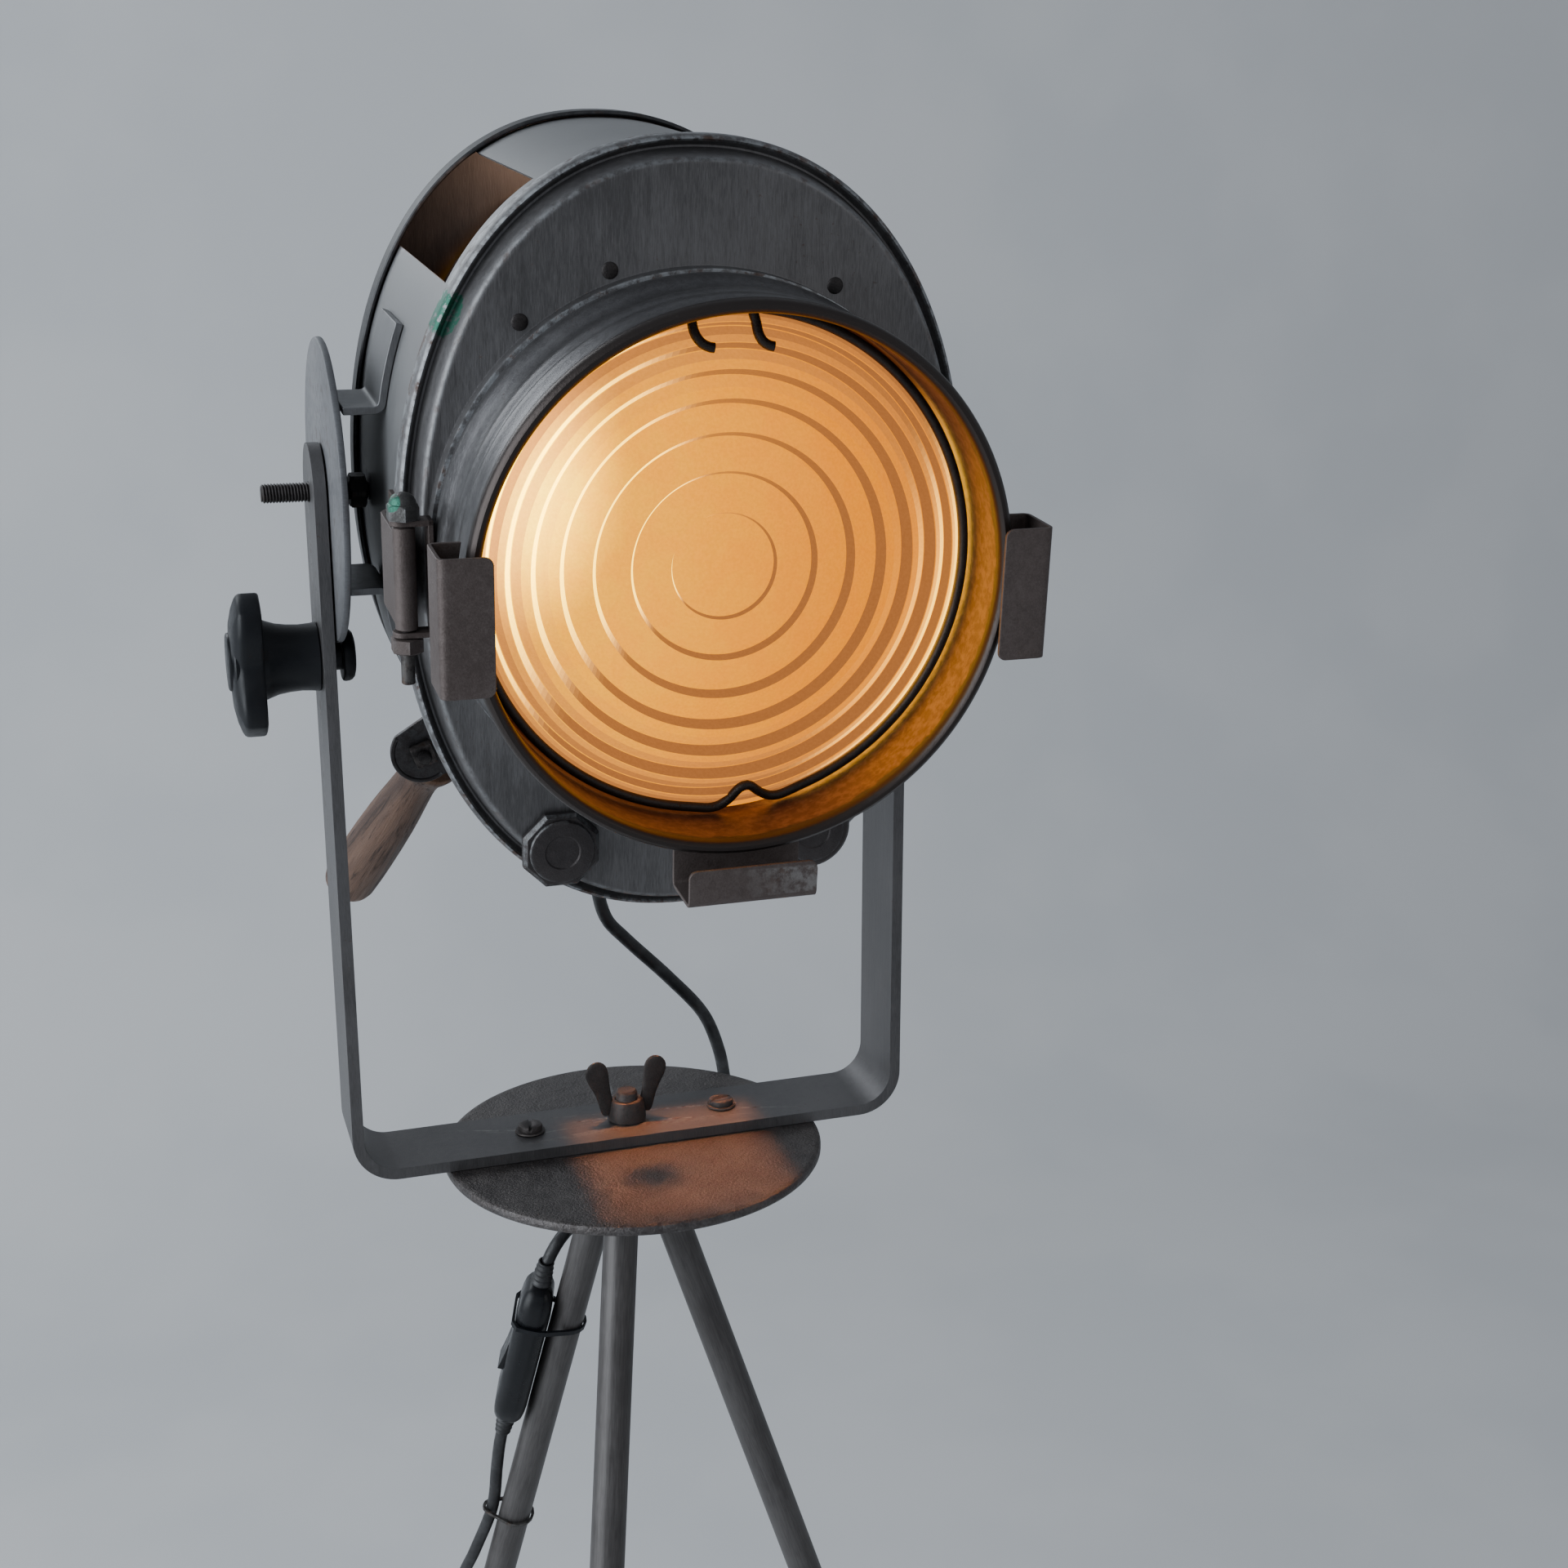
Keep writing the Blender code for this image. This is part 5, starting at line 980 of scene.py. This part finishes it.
# ---- yoke, plate and clamp
def add_yoke():
    middle, low, top = YOKE_INNER + BAR_T / 2, GAP + BAR_T / 2, RISE + BAR_W / 2
    bend = YOKE_BEND + BAR_T / 2
    left = arc(-middle + bend, low + bend, bend, 180, 270, 14)
    right = [(-x, z) for x, z in left[::-1]]
    outline = strip([(-middle, top)] + left + right + [(middle, top)], BAR_T)
    yoke = piece("yoke_bar", prism(outline, -BAR_W / 2, BAR_W / 2, "Y"), "bar turntable bar_steel", TABLE,
        "yoke")
    half = BAR_W / 2
    wide, over = half + 0.002, RISE + half + 0.002
    corners = [(wide, RISE), (wide, over), (-wide, over), (-wide, RISE)] + arc(0, RISE, half, 180, 0, 28)
    cut(yoke, prism(corners, -0.2, 0.2, "X"))
    drill(yoke, 0, RISE, -0.2, 0.2, BORE, "X")
    drill(yoke, 0, RISE + CLAMP_Z, -0.2, 0, BORE, "X")
    for x, radius in BOLT_HOLES:
        drill(yoke, x, 0, -0.01, 0.02, radius)
    shade(yoke.data, 25)
    soften(yoke, 0.0007, 3)

    edge = [(0, -PLATE_T)] + [(PLATE_R - r, z - PLATE_T) for r, z in mm((1.6, 0), (0.6, 0.4), (0, 1.4))]
    edge += [(PLATE_R - r, -z) for r, z in mm((0, 1.8), (0.6, 0.7), (1.8, 0.1), (3, 0))] + [(0, 0)]
    plate = piece("round_plate", lathe(edge, 160), "plate turntable rusty_steel",
        TABLE @ shift(0, PLATE_Y, 0), "base_plate")
    for x, radius in BOLT_HOLES:
        drill(plate, x, -PLATE_Y, -0.01, 0.01, radius)
    shade(plate.data)

    bar_top = GAP + BAR_T
    for name, x, turn in (("yoke_screw_left", -SCREW_X, 80), ("yoke_screw_right", SCREW_X, 15)):
        head = [(0, -PLATE_T), (0.0039, -PLATE_T)] + [(r, bar_top + z) for r, z in mm((3.9, 0.3), (6.6, 0.3),
            (6.8, 0.6), (6.6, 1.2), (5.6, 1.3), (5.6, 3), (5.2, 3.7), (4.4, 4), (0, 4.1))]
        screw = piece(name + "_head", lathe(head, 40), "rusty turntable dark_steel",
            TABLE @ shift(x, 0, 0) @ spin("Z", turn), name)
        cut(screw, prism(rounded_box(0.02, 0.0013, 0.0004, 2), bar_top + 0.0026, bar_top + 0.01))


def add_wing_nut():
    place = TABLE @ shift(0, 0, 2 * GAP + BAR_T)
    base = mm((5.4, 0), (8.4, 0), (8.8, 0.4), (8.9, 1.6), (8.4, 5), (7.6, 9), (7.2, 9.8), (6.6, 10.1),
        (5.4, 10))
    piece("wing_boss", lathe(base, 40, closed=True), "rusty wing_nut dark_steel", place, "wing_nut")
    for side in (-1, 1):
        spine = mm((8.4, 2.2), (9.2, 6), (10.3, 11), (11.7, 16), (13.1, 20.6), (14, 24.4), (14.6, 27.4),
            (14.9, 29.4))
        widths = mm(2.9, 3.6, 3.5, 4.1, 5.3, 5.7, 4.7, 1.6)
        rings = []
        for k, ((x, z), w) in enumerate(zip(spine, widths)):
            thick = 0.0024 - 0.001 * k / 7
            ring = [(side * (x + w * c * 0.95), thick * 0.7 * s, z - w * c * 0.25) for c, s in circle(1, 20)]
            rings.append(ring if side > 0 else ring[::-1])
        ear = piece("wing_ear_" + ("left" if side < 0 else "right"), skin(rings, sharp=50),
            "rusty wing_nut dark_steel", place)
        change = ear.modifiers.new("Smooth", "SUBSURF")
        change.levels = change.render_levels = 1
    stud = mm((0, -12.5), (5, -12.5), (5, 18.6), (4.6, 19.4), (4, 19.8), (0, 19.9))
    piece("stud_end", lathe(stud, 40), "rusty tripod dark_steel", TABLE, "centre_stud")


def clamp_place(x):
    return TABLE @ shift(x, 0, RISE + CLAMP_Z) @ spin("Y", 90)


def add_clamp():
    place = clamp_place(-YOKE_INNER - BAR_T - GAP - 0.0368)
    hub = mm((0, 0), (11.2, 0), (11.9, 0.3), (12.2, 1), (12.2, 2), (16, 2), (16.6, 2.6), (16.6, 15),
        (16, 16.5), (14.8, 20), (14.1, 24.5), (13.8, 29.5), (14.1, 34), (14.5, 36.4), (14.2, 36.8), (4, 36.8),
        (4, 45.8), (0, 45.8))
    piece("clamp_body", lathe(hub, 72), "black clamp black_plastic", place, "clamp_knob")
    star = []
    for c, s in circle(1, 216):
        wave = 0.5 + 0.5 * cos(3 * (atan2(s, c) - pi / 2))
        radius = 0.0175 + 0.0141 * min(1, 1.1 * wave)
        star.append((radius * c, radius * s))
    rings = [[(x * share, y * share, z) for x, y in star] for share, z in ((0.6, 0.0012), (0.8, 0.0024),
        (0.93, 0.0038), (0.975, 0.0046), (0.995, 0.0056), (1, 0.007), (1, 0.0122), (0.99, 0.0131),
        (0.96, 0.0136))]
    piece("clamp_star", skin(rings, sharp=35), "black clamp black_plastic", place)
    collar = lathe(mm((4.1, 0), (6.2, 0), (6.2, 3.6), (4.1, 3.6)), 40, closed=True)
    piece("clamp_collar", collar, "black clamp black_plastic", clamp_place(-0.1222))
    dome = mm((0, 0), (10.4, 0), (10.9, 0.4), (11.1, 1.2), (11, 2.6), (10.5, 3.9), (9.4, 4.9), (7.6, 5.4),
        (4, 5.6), (0, 5.6))
    piece("clamp_cap", lathe(dome, 64), "black clamp black_plastic", clamp_place(DISC_X + 0.003 + GAP),
        "clamp_washer")


# ---- tripod and switch
def add_tripod():
    top = -PLATE_T - GAP
    hub = [(r, top - z) for r, z in mm((0, 0), (29.2, 0), (29.8, 0.4), (30, 1.2), (30, 21.5), (29.6, 23.2),
        (28.4, 24.6), (27, 25), (0, 25))]
    hub = piece("hub_block", lathe(hub, 96), "leg tripod leg_steel", TABLE, "tripod_hub")
    drill(hub, 0, 0, -0.0128, 0, 0.0053)
    long = (STAND.z - LEG_DROP - 0.006) / cos(LEG_SPLAY)
    wall = [(0.0065, 0), (LEG_R, 0), (LEG_R, long), (0.0065, long)]
    for name, turn in LEG_TURNS.items():
        place = Matrix.Translation(leg_point(turn, 0)) @ towards(leg_direction(turn))
        cut(hub, moved(lathe([(0, -GAP), (LEG_R + GAP, -GAP), (LEG_R + GAP, 0.1), (0, 0.1)], 48),
            TABLE.inverted() @ place))
        piece("leg_tube_" + name, lathe(wall, 56, closed=True), "leg tripod leg_steel", place, "leg_" + name)
    shade(hub.data)


def add_switch():
    place = Matrix.Translation(beside(SWITCH_START, SWITCH_OFF)) @ LEG_AXES
    levels = [(0, 0.5), (0.0008, 0.62), (0.0024, 0.76), (0.005, 0.88), (0.009, 0.96), (0.014, 1)]
    levels += [(SWITCH_LONG - z, s) for z, s in levels[::-1]]
    outline = rounded_box(0.016, 0.026, 0.0062, 10)
    rings = [[(x * (s if s > 0.8 else 0.8 - (0.8 - s) * 1.2), y * s, z) for x, y in outline]
        for z, s in levels]
    body = piece("switch_case", skin(rings, sharp=50), "switch tripod black_plastic", place, "switch_body")
    cut(body, prism(rounded_box(0.0146, 0.0226, 0.002, 5, 0, SWITCH_LONG / 2), 0.0034, 0.012, "X"))
    shade(body.data, 40)
    rocker = mm((1.2, -10.4), (2.2, -5.2), (2.8, 0), (3.6, 5.2), (4.6, 10.4), (-0.5, 10.4), (-2.6, 0),
        (-1, -10.4))
    at = Matrix.Translation(beside(SWITCH_START + SWITCH_LONG / 2, SWITCH_OFF) + SIDE * 0.0062) @ LEG_AXES
    piece("rocker_cap", prism(rocker, -0.0066, 0.0066, "Y"), "switch rocker black_plastic", at,
        "switch_rocker", 0.0004)
    for end, way, name in ((0, -1, "upper"), (SWITCH_LONG, 1, "lower")):
        sleeve = [(0.0033, 0), (0.0052, 0), (0.0052, 0.001)]
        for k in range(4):
            sleeve += [(r - 0.0003 * k, z + 0.0028 * k) for r, z in mm((5, 1.4), (4.4, 2.2), (4.4, 3),
                (4.9, 3.8))]
        sleeve += [(0.0038, 0.0126), (0.0033, 0.0128)]
        piece("switch_sleeve_" + name, lathe([(r, way * z) for r, z in sleeve], 32, closed=True),
            "rubber tripod black_rubber", place @ shift(0, 0, end))
    gland = mm((0, -128), (6.5, -128), (9.2, -130), (9.2, -137.5), (6.1, -138), (6.1, -140.8), (8.8, -140.8),
        (9.2, -141.3), (9.2, -146.2), (8.4, -148), (7.2, -148.6))
    for k in range(7):
        z, r = -0.1495 - 0.003 * k, 0.0068 - 0.0004 * k
        gland += [(r, z), (r, z - 0.0014), (r - 0.0009, z - 0.0018), (r - 0.0009, z - 0.0026)]
    gland += [(0.004, -0.1708), (0.0038, -0.1716), (0, -0.172)]
    piece("cord_relief", lathe(gland, 40), "rubber head black_rubber", HEAD @ shift(*GLAND, 0), "cable_gland")


for build in (add_housing, add_door, add_clips, add_caps, add_hinge, add_pivots, add_handle, add_yoke,
        add_wing_nut, add_clamp, add_tripod, add_switch):
    build()


# ---- carried-over CAD nodes
def repaint(name, mat):
    node = frame["nodes"][name]
    node.data.materials.clear()
    node.data.materials.append(MATS[mat])


for look, names in (("baffle", "vent_baffle"), ("strap", "rail_frame lamp_carriage turn_catch"),
        ("ceramic", "lamp_holder"), ("bulb", "bulb"), ("mirror", "reflector"),
        ("black", "focus_knob plug switch_tie"), ("door", "catch_post"),
        ("dark", "pivot_nut_left low_tie wire_tie"), ("rubber", "coil_tie foot_front foot_left foot_right")):
    for node_name in names.split():
        repaint(node_name, look)
